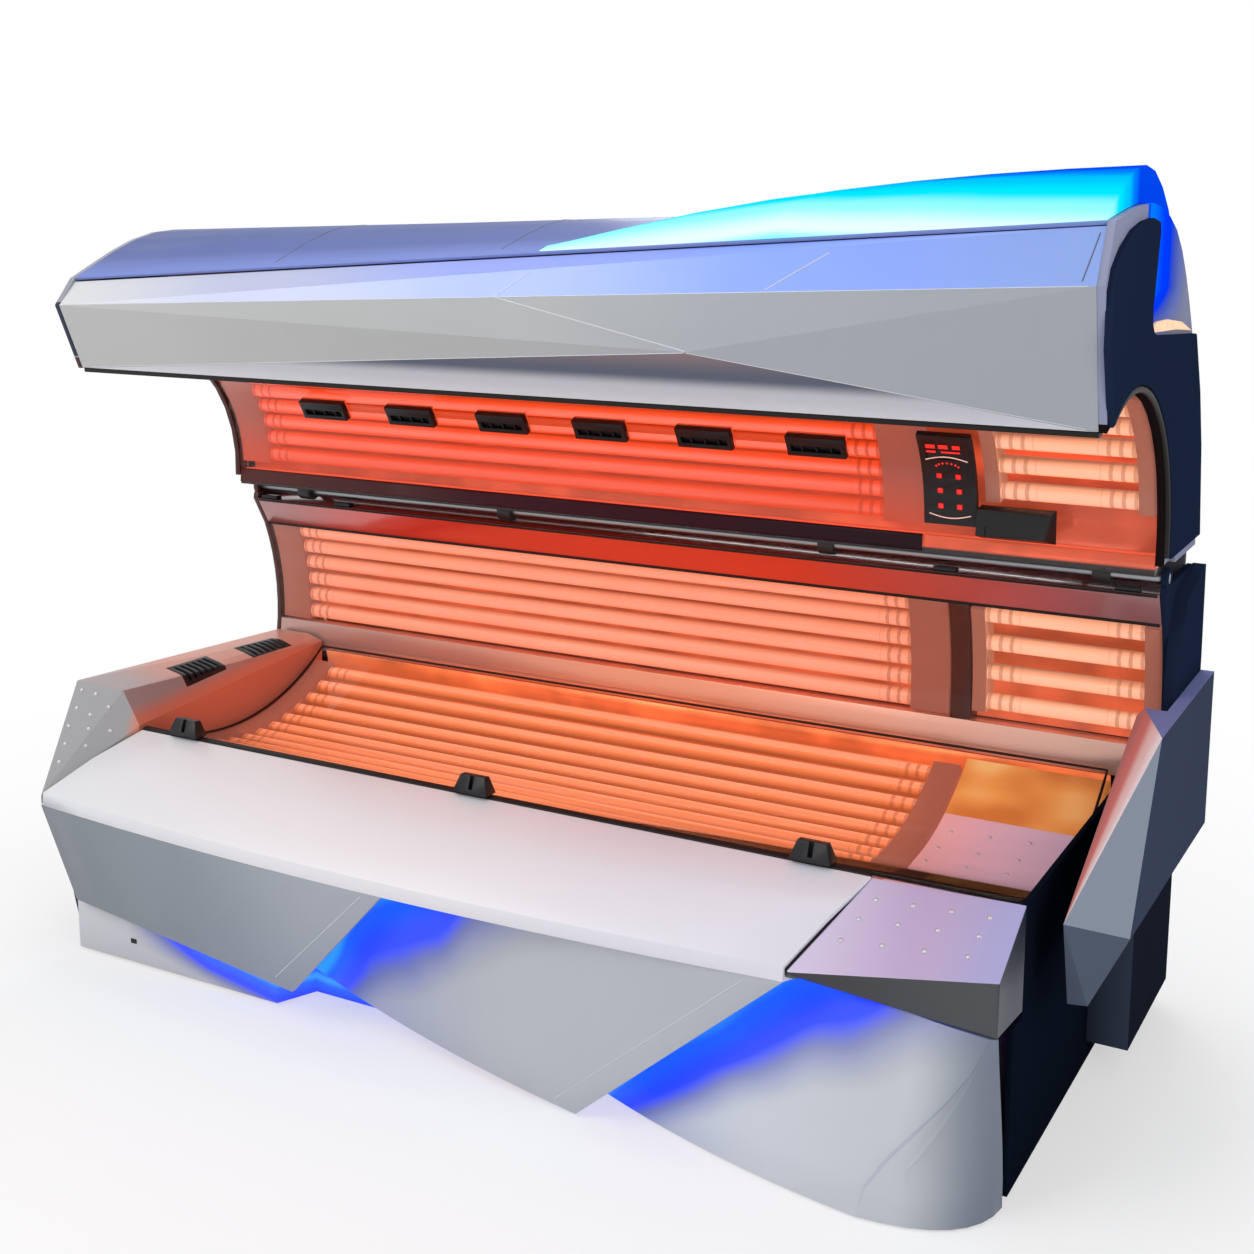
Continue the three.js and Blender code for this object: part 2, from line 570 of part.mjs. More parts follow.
// Rear wall: sheet, lamps, housing, end plates, divider, nose cover and foot rail
const wallStep = Math.sign(wallArc.to - wallArc.from);
const wallOuter = wallArc.radius + TRAY_DEPTH;
add('wall_sheet', alongX(band(wallArc, wallArc.radius, wallArc.radius + SHEET, wallArc.from, wallArc.to),
  IN_LEFT, IN_RIGHT), CLEAR, 0.06);
const wallMargin = 26 / wallArc.radius * wallStep;
add('wall_housing', alongX(band(wallArc, wallOuter, wallOuter + TRAY, wallArc.from, wallArc.to),
  IN_LEFT, IN_RIGHT), REFLECTOR, 0.25, 0.8);
const wallPitch = (Math.abs(wallArc.to - wallArc.from) - 2 * Math.abs(wallMargin))
  * (wallArc.radius + LAMP_DEPTH) / (WALL_LAMPS - 1);
add('wall_lamps', lampBank(wallArc, wallArc.from + wallMargin, wallPitch, WALL_LAMPS,
  IN_LEFT + 6, DIVIDER_X - 4, 88), LAMP, 0.4);
add('wall_face_lamps', lampBank(wallArc, wallArc.from + wallMargin * 1.6, 68, 4,
  DIVIDER_X + DIVIDER_WIDTH + 4, IN_RIGHT - 6, 30), LAMP, 0.4);
add('wall_divider', alongX(band(wallArc, wallArc.radius + SHEET + GAP, wallOuter - GAP,
  wallArc.from, wallArc.to), DIVIDER_X, DIVIDER_X + DIVIDER_WIDTH), '#2a1713', 0.4);
const coverBack = onArc(wallArc, wallOuter + TRAY, wallArc.to);
add('wall_nose_cover', alongX([
  v2(WALL_TOP_Y, WALL_TOP_Z + GAP), v2(NOSE_TOP_Y, NOSE_TOP_Z), v2(coverBack.x + 20, NOSE_TOP_Z),
  v2(coverBack.x + 20, NOSE_TOP_Z - 30), v2(coverBack.x, coverBack.y + GAP),
], IN_LEFT, IN_RIGHT), '#7a3b33', 0.3, 0.2);
const wallFootOuter = onArc(wallArc, wallOuter + TRAY, wallArc.from);
add('wall_foot_rail', alongX([
  v2(WALL_FOOT_Y, WALL_FOOT_Z - GAP), v2(BENCH_REAR_Y + 6, BENCH_REAR_Z), v2(BENCH_REAR_Y + 6, BENCH_REAR_Z - 22),
  v2(wallFootOuter.x, BENCH_REAR_Z - 22), v2(wallFootOuter.x, wallFootOuter.y - GAP - 2),
], IN_LEFT, IN_RIGHT), SILVER, 0.25, 0.6);

function wallEnd(x0, x1) {
  const outline = [v2(BENCH_REAR_Y + 6, BENCH_REAR_Z - 22), v2(BENCH_REAR_Y + 6, BENCH_REAR_Z)];
  for (let i = 0; i <= 6; i++) {
    outline.push(onArc(wallArc, wallArc.radius, lerp(wallArc.from, wallArc.to, i / 6)));
  }
  outline.push(v2(NOSE_TOP_Y, NOSE_TOP_Z), v2(NOSE_TOP_Y + 4, NOSE_TOP_Z + 16));
  outline.push(v2(HINGE_Y + BOSS_RADIUS, NOSE_TOP_Z + 16), v2(REAR_INNER, NOSE_TOP_Z + 16));
  outline.push(v2(REAR_INNER, BENCH_REAR_Z - 22));
  const plate = alongX(outline, x0, x1);
  const boss = rod(BOSS_RADIUS, x1 - x0, 'x', [(x0 + x1) / 2, HINGE_Y, HINGE_Z], 24);
  return plate.add(boss).subtract(rod(SHAFT_RADIUS + GAP, LENGTH, 'x', [0, HINGE_Y, HINGE_Z], 24));
}
add('wall_end_left', wallEnd(LEFT, LEFT + END_PLATE), '#3a2622', 0.35);
add('hinge_shaft', rod(SHAFT_RADIUS, HOOD_LENGTH - 2, 'x', [(LEFT + RIGHT) / 2, HINGE_Y, HINGE_Z], 24),
  STEEL, 0.3, 0.9);

// Balance struts: cylinder on the frame, rod with a slotted eye round the canopy pin
const slotMid = HINGE_Y + STRUT_CRANK * (1 + Math.cos(strutDrop)) / 2;
const slotHalf = STRUT_CRANK * (1 - Math.cos(strutDrop)) / 2 + STRUT_PIN_RADIUS + 1;
const bodyTop = pinZ - 190;
const strutTubes = [];
['left', 'right'].forEach((name, i) => {
  const x = STRUT_STATIONS[i];
  const rodLength = pinZ - 20 - (bodyTop - 60);
  let eye = block(x - 8, x + 8, slotMid - slotHalf - 8, slotMid + slotHalf + 8, pinZ - 22, pinZ + 18);
  eye = eye.subtract(block(x - 20, x + 20, slotMid - slotHalf, slotMid + slotHalf,
    pinZ - STRUT_PIN_RADIUS - 2, pinZ + STRUT_PIN_RADIUS + 2));
  const stem = rod(STRUT_ROD_RADIUS, rodLength, 'z', [x, slotMid, bodyTop - 60 + rodLength / 2], 16);
  add(`strut_rod_${name}`, eye.add(stem), STEEL, 0.2, 0.9);
  const tube = rod(STRUT_BODY_RADIUS, STRUT_BODY_LENGTH, 'z', [x, slotMid, bodyTop - STRUT_BODY_LENGTH / 2], 20);
  const bore = rod(STRUT_ROD_RADIUS + 0.5, STRUT_BODY_LENGTH, 'z', [x, slotMid, bodyTop - 40], 16);
  strutTubes.push({ tube, bore });
});

// Bench: clear sheet, lamps, tray, front seal rail and catches
const benchStep = Math.sign(benchArc.to - benchArc.from);
const benchSheetFrom = benchArc.from + 6 / benchArc.radius * benchStep;
const benchSheetTo = benchArc.to - 6 / benchArc.radius * benchStep;
const benchSheet = alongX(
  band(benchArc, benchArc.radius, benchArc.radius + SHEET, benchSheetFrom, benchSheetTo, 16), BENCH_LEFT, BENCH_RIGHT);
add('bench_sheet', benchSheet, CLEAR, 0.06);
const benchMargin = 46 / benchArc.radius * benchStep;
const benchPitch = (Math.abs(benchArc.to - benchArc.from) * benchArc.radius - 92) / (BENCH_LAMPS - 1);
add('bench_lamps', lampBank(benchArc, benchArc.from + benchMargin, benchPitch, BENCH_LAMPS,
  BENCH_LEFT + 8, MID_EDGE_TOP + 60, 60), LAMP, 0.4);
add('bench_tray', alongX(band(benchArc, benchArc.radius + TRAY_DEPTH, benchArc.radius + TRAY_DEPTH + TRAY,
  benchArc.from + benchMargin * 0.6, benchArc.to - benchMargin * 0.6), BENCH_LEFT, BENCH_RIGHT), REFLECTOR, 0.25, 0.8);
add('head_panel', alongX(band(benchArc, benchArc.radius + SHEET + 8, benchArc.radius + SHEET + 20,
  benchSheetFrom + benchMargin / 2, benchSheetTo - benchMargin / 2), MID_EDGE_TOP + 66, BENCH_RIGHT), SILVER, 0.4, 0.3);

const APRON_RIGHT_TOP = MID_EDGE_TOP + 98;
const benchFront = onArc(benchArc, benchArc.radius, benchSheetFrom);
let seal = alongX([
  v2(benchFront.x - 18, benchFront.y + 1), v2(benchFront.x - 4, benchFront.y + 5),
  v2(benchFront.x - 4, benchFront.y - 16), v2(benchFront.x - 18, benchFront.y - 20),
], BENCH_LEFT + 8, APRON_RIGHT_TOP - 5);
CATCH_STATIONS.forEach((x, i) => {
  const half = CATCH_WIDTH / 2;
  const catchBody = hull([
    [x - half, benchFront.x - 30, benchFront.y + CATCH_SEAT], [x + half, benchFront.x - 30, benchFront.y + CATCH_SEAT],
    [x - half, benchFront.x + 8, benchFront.y + CATCH_SEAT], [x + half, benchFront.x + 8, benchFront.y + CATCH_SEAT],
    [x - half * 0.7, benchFront.x - 16, benchFront.y + 42], [x + half * 0.7, benchFront.x - 16, benchFront.y + 42],
    [x - half * 0.7, benchFront.x + 2, benchFront.y + 40], [x + half * 0.7, benchFront.x + 2, benchFront.y + 40],
  ]);
  const slot = block(x - 5, x + 5, benchFront.x - 40, benchFront.x - 12, benchFront.y + 14, benchFront.y + 60);
  const tongue = block(x - half + 8, x + half - 8, benchFront.x, benchFront.x + 8, benchFront.y + GAP, benchFront.y + 12);
  add(`bench_catch_${i + 1}`, catchBody.add(tongue).subtract(slot), BLACK, 0.35);
});
add('bench_seal_rail', seal, BLACK, 0.5);

// Apron between the lip and the seal rail
const apronTopY = benchFront.x - 19;
const apronRings = [];
for (let k = 0; k <= 14; k++) {
  const t = k / 14;
  const xl = lerp(BASE_LEFT + 10, MID_EDGE_TOP, t);
  const xt = lerp(BENCH_LEFT + 9, APRON_RIGHT_TOP, t);
  const y = lipY(xl);
  const xf = lerp(xl, xt, RETURN_FLANGE / (apronTopY - y));
  apronRings.push([
    [xl, y, LIP_Z - LIP_NOSE / 2], [xl, y + 3, LIP_Z + LIP_NOSE / 2],
    [lerp(xl, xt, 0.5), lerp(y, apronTopY, 0.5), lerp(LIP_Z, benchFront.y, 0.5) + 14],
    [xt, apronTopY, benchFront.y - 1], [xt, apronTopY, benchFront.y - 1 - APRON],
    [lerp(xl, xt, 0.5), lerp(y, apronTopY, 0.5) + 4, lerp(LIP_Z, benchFront.y, 0.5) + 4],
    [xl, y + APRON, LIP_Z + LIP_NOSE / 2 - 8], [xl, y + APRON, LIP_Z - LIP_NOSE / 2 + APRON],
    [xf, y + RETURN_FLANGE, LIP_Z - LIP_NOSE / 2 + APRON], [xf, y + RETURN_FLANGE, LIP_Z - LIP_NOSE / 2],
  ]);
}
add('apron', loft(apronRings), WHITE, 0.3, 0.1);

// End caps: left cap with its dotted facet, right shoulder with the dark facet below it
const capInner = BENCH_LEFT - GAP;
const CAP_RIDGE = BASE_LEFT + 102;
const VENT_LEFT = BASE_LEFT + 62;
const VENT_RIGHT = VENT_LEFT + 68;
const capFoot = SKIRT_TOP + 2 * GAP;
const leftCap = hull([
  [BASE_LEFT, lipY(BASE_LEFT) + 4, capFoot], [capInner, apronTopY, capFoot],
  [capInner, BENCH_REAR_Y, capFoot], [BASE_LEFT, BENCH_REAR_Y, capFoot],
  [BASE_LEFT, lipY(BASE_LEFT) + 4, LIP_Z + 4], [BASE_LEFT, FRONT + 180, 649], [CAP_RIDGE, apronTopY, 627],
  [capInner, apronTopY, BENCH_FRONT_Z + 4], [BASE_LEFT, BENCH_REAR_Y, WALL_FOOT_Z - 30],
  [CAP_RIDGE, BENCH_REAR_Y, WALL_FOOT_Z - 30], [capInner, BENCH_REAR_Y, BENCH_REAR_Z + 4],
]);
let cap = leftCap;
const vents = [];
[[-150, -10], [90, 240]].forEach(([y0, y1], i) => {
  const pocket = block(VENT_LEFT, VENT_RIGHT, y0, y1, 585, 720);
  cap = cap.subtract(pocket);
  const insert = block(VENT_LEFT + GAP, VENT_RIGHT - GAP, y0 + GAP, y1 - GAP, 585 + GAP, 720).intersect(leftCap);
  let louvred = insert;
  for (let s = 1; s < 7; s++) {
    const y = lerp(y0, y1, s / 7);
    louvred = louvred.subtract(block(VENT_LEFT + 8, VENT_RIGHT - 6, y - 5, y + 5, 600, 720));
  }
  vents.push([`air_outlet_${i + 1}`, louvred]);
});
add('end_cap_left', cap, SILVER, 0.35, 0.35);
vents.forEach(([name, body]) => add(name, body, BLACK, 0.35));
const tipY = lipY(TIP_X);
add('shoulder_right', hull([
  [MID_EDGE_TOP + 3, lipY(MID_EDGE_TOP) + 4, LIP_Z + 4], [TIP_X - 2, tipY + 2, LIP_Z + 50],
  [BASE_RIGHT, apronTopY, BENCH_FRONT_Z], [APRON_RIGHT_TOP + 1, apronTopY, BENCH_FRONT_Z - 6],
  [TIP_X - 4, tipY + 6, TIP_Z + GAP], [BASE_RIGHT, apronTopY, TIP_Z + GAP],
  [APRON_RIGHT_TOP + 12, apronTopY, LIP_Z - 6], [MID_EDGE_TOP + 20, lipY(MID_EDGE_TOP) + 16, LIP_Z - 8],
]), '#b9b6cc', 0.35, 0.3);

// Skirts: three overlapping panels
const FOOT_LEFT = [BASE_LEFT + 35, FRONT + 108, LEFT_SKIRT_RISE];
const FOOT_MID = [MID_EDGE_FOOT, FRONT + 56, 4];
const footAt = (x) => {
  const t = (x - FOOT_LEFT[0]) / (FOOT_MID[0] - FOOT_LEFT[0]);
  return [x, lerp(FOOT_LEFT[1], FOOT_MID[1], t), lerp(FOOT_LEFT[2], FOOT_MID[2], t)];
};
const between = (a, b, t) => a.map((v, i) => lerp(v, b[i], t));
add('skirt_left', skin((u, v) => {
  const x = lerp(BASE_LEFT + 2, LEFT_EDGE_TOP, u);
  const top = [x, lipY(x) + 1, SKIRT_TOP];
  return between(top, footAt(lerp(FOOT_LEFT[0], LEFT_EDGE_FOOT, u)), v);
}, 8, 2, [0, SKIRT, 0]), GREY, 0.3, 0.4);

// A recessed panel starts deep behind its neighbour's slanted edge and sweeps out to the front;
// above a curved crease it leans back under the lip
const sweep = (u) => SKIRT_RECESS * (1 - u) ** 2 + SKIRT * 1.5 * (1 - u);
const SCALLOP_ROWS = 2;
const SCALLOP_DEPTH = 34;
const SCALLOP_REACH = 0.62;
const SKIRT_ROWS = 7;
function scallop(u, v) {
  const row = Math.round(v * SKIRT_ROWS);
  const open = Math.max(0, 1 - u / SCALLOP_REACH);
  const crease = 0.04 + 0.24 * Math.sin(Math.min(1, u / SCALLOP_REACH) * Math.PI * 0.8 + 0.6);
  const at = row <= SCALLOP_ROWS
    ? crease * row / SCALLOP_ROWS
    : lerp(crease, 1, (row - SCALLOP_ROWS) / (SKIRT_ROWS - SCALLOP_ROWS));
  const lean = Math.max(0, 1 - row / SCALLOP_ROWS) * Math.sqrt(open) * SCALLOP_DEPTH;
  return { at, lean };
}
add('skirt_middle', skin((u, v) => {
  const x = lerp(LEFT_EDGE_TOP - 30, MID_EDGE_TOP, u);
  const { at, lean } = scallop(u, v);
  const top = [x, lipY(x) + 1 + sweep(u), SKIRT_TOP];
  const foot = footAt(lerp(LEFT_EDGE_FOOT - 30, MID_EDGE_FOOT, u));
  foot[1] += sweep(u);
  const p = between(top, foot, at);
  p[1] += lean * (1 - u);
  return p;
}, 12, SKIRT_ROWS, [0, SKIRT, 0]), GREY, 0.3, 0.4);
const prow = (v) => {
  const bow = 4 * v * (1 - v) * 30;
  return [lerp(TIP_X - 14, PROW_X, v) + bow, lerp(tipY, PROW_Y, v) - bow * 0.2, lerp(TIP_Z - GAP, 4, v)];
};
const skirtRight = skin((u, v) => {
  const { at, lean } = scallop(u, v);
  const start = between([MID_EDGE_TOP - 30, lipY(MID_EDGE_TOP), SKIRT_TOP], FOOT_MID, at);
  start[0] -= at * 20;
  const p = between(start, prow(at), u);
  return [p[0], p[1] + sweep(u) + lean * (1 - u), p[2]];
}, 12, SKIRT_ROWS, [0, SKIRT, 0]);

const CORNER_END = FRONT + 155;
const CORNER_SKIN = SKIRT + 6;
// Prow: the rounded corner, a fan from the tip to an arc on the floor
const corner = (u) => {
  const a = new THREE.Vector2(PROW_X, PROW_Y);
  const c = new THREE.Vector2(TIP_X + 2, CORNER_END);
  const b = new THREE.Vector2(TIP_X - 8, PROW_Y + 10);
  const curve = new THREE.QuadraticBezierCurve(a, b, c);
  return curve.getPoint(u);
};
const skirtCorner = skin((u, v) => {
  const floor = corner(u);
  const crease = prow(v);
  const edge = [lerp(TIP_X - 2, TIP_X + 2, v), lerp(tipY + 8, CORNER_END, v), lerp(TIP_Z - GAP, 4, v)];
  const straight = between(crease, edge, u);
  const pull = v * v;
  return [
    lerp(straight[0], floor.x, pull), lerp(straight[1], floor.y, pull), straight[2],
  ];
}, 8, 6, [-8, CORNER_SKIN, 0]);
add('skirt_right', skirtRight.add(skirtCorner), GREY, 0.3, 0.4);

// Sides, plinth, rear cover
const SIDE_TOP = BENCH_REAR_Z - 22 - GAP;
const sideOutline = (front, top) => [
  v2(front, 14), v2(REAR_INNER, 14), v2(REAR_INNER, SIDE_TOP), v2(BENCH_REAR_Y + 4, SIDE_TOP),
  v2(BENCH_REAR_Y + 4, top), v2(apronTopY + 4, top), v2(apronTopY + 4, TIP_Z - 10), v2(front, TIP_Z - 10),
];
add('side_right', alongX(sideOutline(CORNER_END + CORNER_SKIN + GAP, BENCH_FRONT_Z), BASE_RIGHT - SIDE_SKIN, BASE_RIGHT), NAVY, 0.3, 0.2);
add('side_left', alongX([
  v2(FRONT + 130, LEFT_SKIRT_RISE + 10), v2(FRONT + 155, 14), v2(REAR_INNER, 14), v2(REAR_INNER, SIDE_TOP),
  v2(BENCH_REAR_Y + 4, SIDE_TOP), v2(BENCH_REAR_Y + 4, SKIRT_TOP), v2(FRONT + 115, SKIRT_TOP),
], BASE_LEFT, BASE_LEFT + SIDE_SKIN), NAVY, 0.35, 0.2);
const PLINTH_FRONT = FRONT + 131;
const PLINTH_BACK = FRONT + 219;       // behind the recess of the middle skirt
const plinthLeft = BASE_LEFT + SIDE_SKIN + GAP;
const plinthStep = LEFT_EDGE_FOOT - 84;
add('plinth', alongZ([
  v2(plinthLeft, PLINTH_FRONT), v2(plinthStep, PLINTH_FRONT), v2(plinthStep + 40, PLINTH_BACK),
  v2(MID_EDGE_FOOT + 30, PLINTH_BACK), v2(MID_EDGE_FOOT + 30, PLINTH_BACK + SKIRT),
  v2(plinthStep + 33, PLINTH_BACK + SKIRT), v2(plinthStep - 7, PLINTH_FRONT + SKIRT),
  v2(plinthLeft + SKIRT, PLINTH_FRONT + SKIRT), v2(plinthLeft + SKIRT, REAR - 35), v2(plinthLeft, REAR - 35),
], 6, LEFT_SKIRT_RISE + 30), WHITE, 0.4);
const VENT_LENGTH = 400;
const VENT_PITCH = 0.265;       // share of the length
const GLAND_X = RIGHT - 332.5;
let rearCover = block(BASE_LEFT, RIGHT - END_PLATE - 4, REAR - REAR_SKIN, REAR, 40, CANOPY_REAR_Z - 8);
for (const bank of [-1, 0, 1]) {
  const x0 = bank * VENT_PITCH * LENGTH - VENT_LENGTH / 2;
  const x1 = x0 + VENT_LENGTH;
  for (let i = 0; i < 6; i++) {
    const z = 150 + i * 34;
    rearCover = rearCover.subtract(block(x0, x1, REAR - 20, REAR + 10, z, z + 14));
  }
}
const gland = new THREE.LatheGeometry([
  v2(0, 0), v2(18, 0), v2(18, 8), v2(13, 12), v2(13, 22), v2(0, 22),
], 16);
gland.translate(GLAND_X, REAR - 32, 90);
const cordBore = rod(7, 100, 'y', [GLAND_X, REAR, 90], 12);
add('rear_cover', rearCover.add(solid(gland)).subtract(cordBore), '#3a4150', 0.5, 0.1);

// Light bars behind the slanted edges of the left and middle skirts
const BAR_WIDTH = 26;
const BAR_SETBACK = 52;
const BAR_STANDOFF_LEFT = 5.4;
const BAR_STANDOFF_RIGHT = 4.2;
function lightBar(foot, top, standoff) {
  const points = [];
  for (const [x, y, z] of [foot, top]) {
    for (const dx of [0, BAR_WIDTH]) {
      for (const dy of [0, 8]) points.push([x - BAR_SETBACK + dx, y + SKIRT + standoff + dy, z]);
    }
  }
  return hull(points);
}
const leftFoot = footAt(LEFT_EDGE_FOOT);
add('light_bar_left', lightBar([LEFT_EDGE_FOOT, leftFoot[1], leftFoot[2] + 16],
  [LEFT_EDGE_TOP, lipY(LEFT_EDGE_TOP), SKIRT_TOP - 16], BAR_STANDOFF_LEFT), BLUE, 0.3);
add('light_bar_right', lightBar([MID_EDGE_FOOT, FOOT_MID[1], 20],
  [MID_EDGE_TOP, lipY(MID_EDGE_TOP), SKIRT_TOP - 16], BAR_STANDOFF_RIGHT), BLUE, 0.3);

// Head-end column, side fin and post
const COLUMN_X0 = RIGHT - 1;
const COLUMN_X1 = RIGHT + 27;
const column = alongX([
  v2(262, 432), v2(REAR - 12, 432), v2(REAR - 10, 800), v2(REAR - 20, NOSE_TOP_Z + 20), v2(360, NOSE_TOP_Z - 20),
  v2(310, WALL_TOP_Z - 40), v2(285, 640),
], COLUMN_X0, COLUMN_X1);
add('wall_end_right', wallEnd(RIGHT - END_PLATE, RIGHT).add(column), NAVY, 0.25, 0.2);
const FIN_X = LENGTH / 2;
const FIN_INNER = RIGHT - 30.5;
const FIN_TOP = 772;
const finHull = hull([
  [FIN_INNER, -314, 516], [FIN_INNER + 4, -276, 352], [FIN_INNER, 236, FIN_TOP], [FIN_INNER, REAR - 10, FIN_TOP],
  [FIN_INNER, REAR - 10, 434], [FIN_X, -170, 450], [FIN_X, 20, FIN_TOP], [FIN_X, REAR - 10, FIN_TOP],
  [FIN_X, REAR - 10, 434], [FIN_INNER + 40, -276, 356],
]);
const finRoom = block(0, COLUMN_X1 + GAP, 200, DEPTH, 0, 1200);
const finUnder = block(0, LENGTH, 150, DEPTH, 0, 432);
add('side_fin', finHull.subtract(finRoom).subtract(finUnder), '#7d8397', 0.3, 0.3);
add('side_post', block(BASE_RIGHT + GAP, RIGHT - 6, 168, REAR - 14, 60, 430), '#3b3f4a', 0.35, 0.2);

// Frame, feet and the works inside the base
const beam = 40;
const FRAME_FRONT = FRONT + 255;
const FRAME_REAR = HINGE_Y + STRUT_CRANK - 10;  // under the strut cylinders
const frameParts = [];
for (const y of [FRAME_FRONT, FRAME_REAR]) {
  frameParts.push(block(plinthLeft + SKIRT + GAP, BENCH_RIGHT, y, y + beam, FOOT_HEIGHT, FOOT_HEIGHT + beam));
}
for (const x of [BASE_LEFT + 72, station(0.334), station(0.639), BASE_RIGHT - 72]) {
  frameParts.push(block(x, x + beam, FRAME_FRONT, FRAME_REAR + beam, FOOT_HEIGHT, FOOT_HEIGHT + beam));
  frameParts.push(block(x, x + beam, FRAME_FRONT, FRAME_FRONT + beam, FOOT_HEIGHT, 340));
  frameParts.push(block(x, x + beam, FRAME_REAR, FRAME_REAR + beam, FOOT_HEIGHT, 600));
}
const footProfile = [
  v2(0, 0), v2(FOOT_RADIUS, 0), v2(FOOT_RADIUS, 8), v2(FOOT_RADIUS * 0.6, 13), v2(9, 15),
  v2(9, FOOT_HEIGHT + 2), v2(0, FOOT_HEIGHT + 2),
];
for (const x of [BASE_LEFT + 112, BASE_RIGHT - 82]) {
  for (const y of [FRAME_FRONT + beam / 2, FRAME_REAR + beam / 2]) {
    const foot = new THREE.LatheGeometry(footProfile, 20);
    foot.rotateX(Math.PI / 2);
    foot.translate(x, y, 0);
    frameParts.push(solid(foot));
  }
}
let frame = fuse([...frameParts, ...strutTubes.map((s) => s.tube)]);
for (const { bore } of strutTubes) frame = frame.subtract(bore);
add('base_frame', frame, '#33363c', 0.5, 0.5);

const FAN_X = 0;
const FAN_DEPTH = 50;
const FAN_Y = REAR_INNER - FAN_DEPTH / 2;
const FAN_Z = 235;
const fanFrame = block(FAN_X - FAN_RADIUS - 16, FAN_X + FAN_RADIUS + 16, FAN_Y - FAN_DEPTH / 2, FAN_Y + FAN_DEPTH / 2,
  FAN_Z - FAN_RADIUS - 16, FAN_Z + FAN_RADIUS + 16);
const fanBore = rod(FAN_RADIUS + 3, 80, 'y', [FAN_X, FAN_Y, FAN_Z], 32);
const fanHub = rod(25, 14, 'y', [FAN_X, FAN_Y - 18, FAN_Z], 20);
const fanShaft = rod(FAN_SHAFT, 26, 'y', [FAN_X, FAN_Y, FAN_Z], 32);
const fanShaftBore = rod(FAN_SHAFT + RUNNING_FIT, 27, 'y', [FAN_X, FAN_Y, FAN_Z], 32);
const spoke = block(FAN_X - FAN_RADIUS - 8, FAN_X + FAN_RADIUS + 8, FAN_Y - 25, FAN_Y - 15, FAN_Z - 6, FAN_Z + 6);
const spokeUp = block(FAN_X - 6, FAN_X + 6, FAN_Y - 25, FAN_Y - 15, FAN_Z - FAN_RADIUS - 8, FAN_Z + FAN_RADIUS + 8);
add('fan_housing', fuse([fanFrame.subtract(fanBore), fanHub, fanShaft, spoke, spokeUp]), '#22252b', 0.5);
const wheel = [rod(34, 24, 'y', [FAN_X, FAN_Y + 5, FAN_Z], 20)];
for (let i = 0; i < FAN_BLADES; i++) {
  const blade = new THREE.BoxGeometry(FAN_RADIUS - 32, 4, 40);
  blade.rotateX(rad(62));
  blade.translate((FAN_RADIUS + 26) / 2 - 1, 0, 0);
  blade.rotateY(i * 2 * Math.PI / FAN_BLADES);
  blade.translate(FAN_X, FAN_Y + 5, FAN_Z);
  wheel.push(solid(blade));
}
add('fan_impeller', fuse(wheel).subtract(fanShaftBore), '#2d3138', 0.45);

const GEAR_X = station(0.257);
const gear = [block(GEAR_X, GEAR_X + 400, 60, 320, FOOT_HEIGHT + beam + GAP, 130)];
for (let i = 0; i < 6; i++) {
  const x = GEAR_X + 20 + i * 64;
  gear.push(block(x, x + 44, 80, 300, 120, 190));
}
add('lamp_control_gear', fuse(gear), '#5a5f68', 0.4, 0.5);
export default bed;
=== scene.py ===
"""Clamshell tanning bed: finishes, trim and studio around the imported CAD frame."""

import math

import bmesh
import bpy
from mathutils import Matrix, Vector
from mathutils.bvhtree import BVHTree


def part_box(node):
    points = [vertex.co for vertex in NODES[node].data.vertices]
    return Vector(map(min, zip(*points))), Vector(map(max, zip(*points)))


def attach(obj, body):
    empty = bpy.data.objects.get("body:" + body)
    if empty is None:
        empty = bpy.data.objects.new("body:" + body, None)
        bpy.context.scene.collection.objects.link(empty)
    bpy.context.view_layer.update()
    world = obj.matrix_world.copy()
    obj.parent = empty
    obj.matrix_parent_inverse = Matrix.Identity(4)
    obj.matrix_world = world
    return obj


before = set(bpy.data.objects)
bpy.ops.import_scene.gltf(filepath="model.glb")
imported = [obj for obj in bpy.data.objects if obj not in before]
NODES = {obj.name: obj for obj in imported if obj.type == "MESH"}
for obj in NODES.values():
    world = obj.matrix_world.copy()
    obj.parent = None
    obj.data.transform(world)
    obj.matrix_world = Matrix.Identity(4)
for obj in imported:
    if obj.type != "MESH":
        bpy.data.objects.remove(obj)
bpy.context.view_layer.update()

bl_info = {
    "name": "Clamshell Tanning Bed",
    "version": (1, 0, 0),
    "blender": (4, 5, 0),
    "location": "3D View > Sidebar > Tanning Bed",
    "description": "Dresses a clamshell tanning bed with finishes, trim and studio light",
    "category": "Object",
}

X, Y, Z = 0, 1, 2
HEAD_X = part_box("canopy_end_right")[1].x    # outer face of the canopy's head end
FOOT_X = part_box("canopy_end_left")[0].x     # outer face of its foot end
TUNNEL = Vector((0.0, -0.122, 1.091))       # a point of the tunnel's axis
TUNNEL_RADIUS = 0.336
FIN_NOSE = Vector((1.122, -0.314, 0.516))   # where the facets of the side fin meet
FIN_CROWN = Vector((1.2075, 0.020, 0.772))  # upper end of its front crease


# Properties

def colour(name, words, value):
    """A colour property."""
    return bpy.props.FloatVectorProperty(
        name=name, description=words, default=value, size=3, min=0.0, max=1.0, subtype="COLOR")


def number(name, words, value, **settings):
    """A number property."""
    return bpy.props.FloatProperty(name=name, description=words, default=value, **settings)


def length(name, words, value):
    """A length property."""
    return number(name, words, value, min=0.0, unit="LENGTH", subtype="DISTANCE", precision=4)


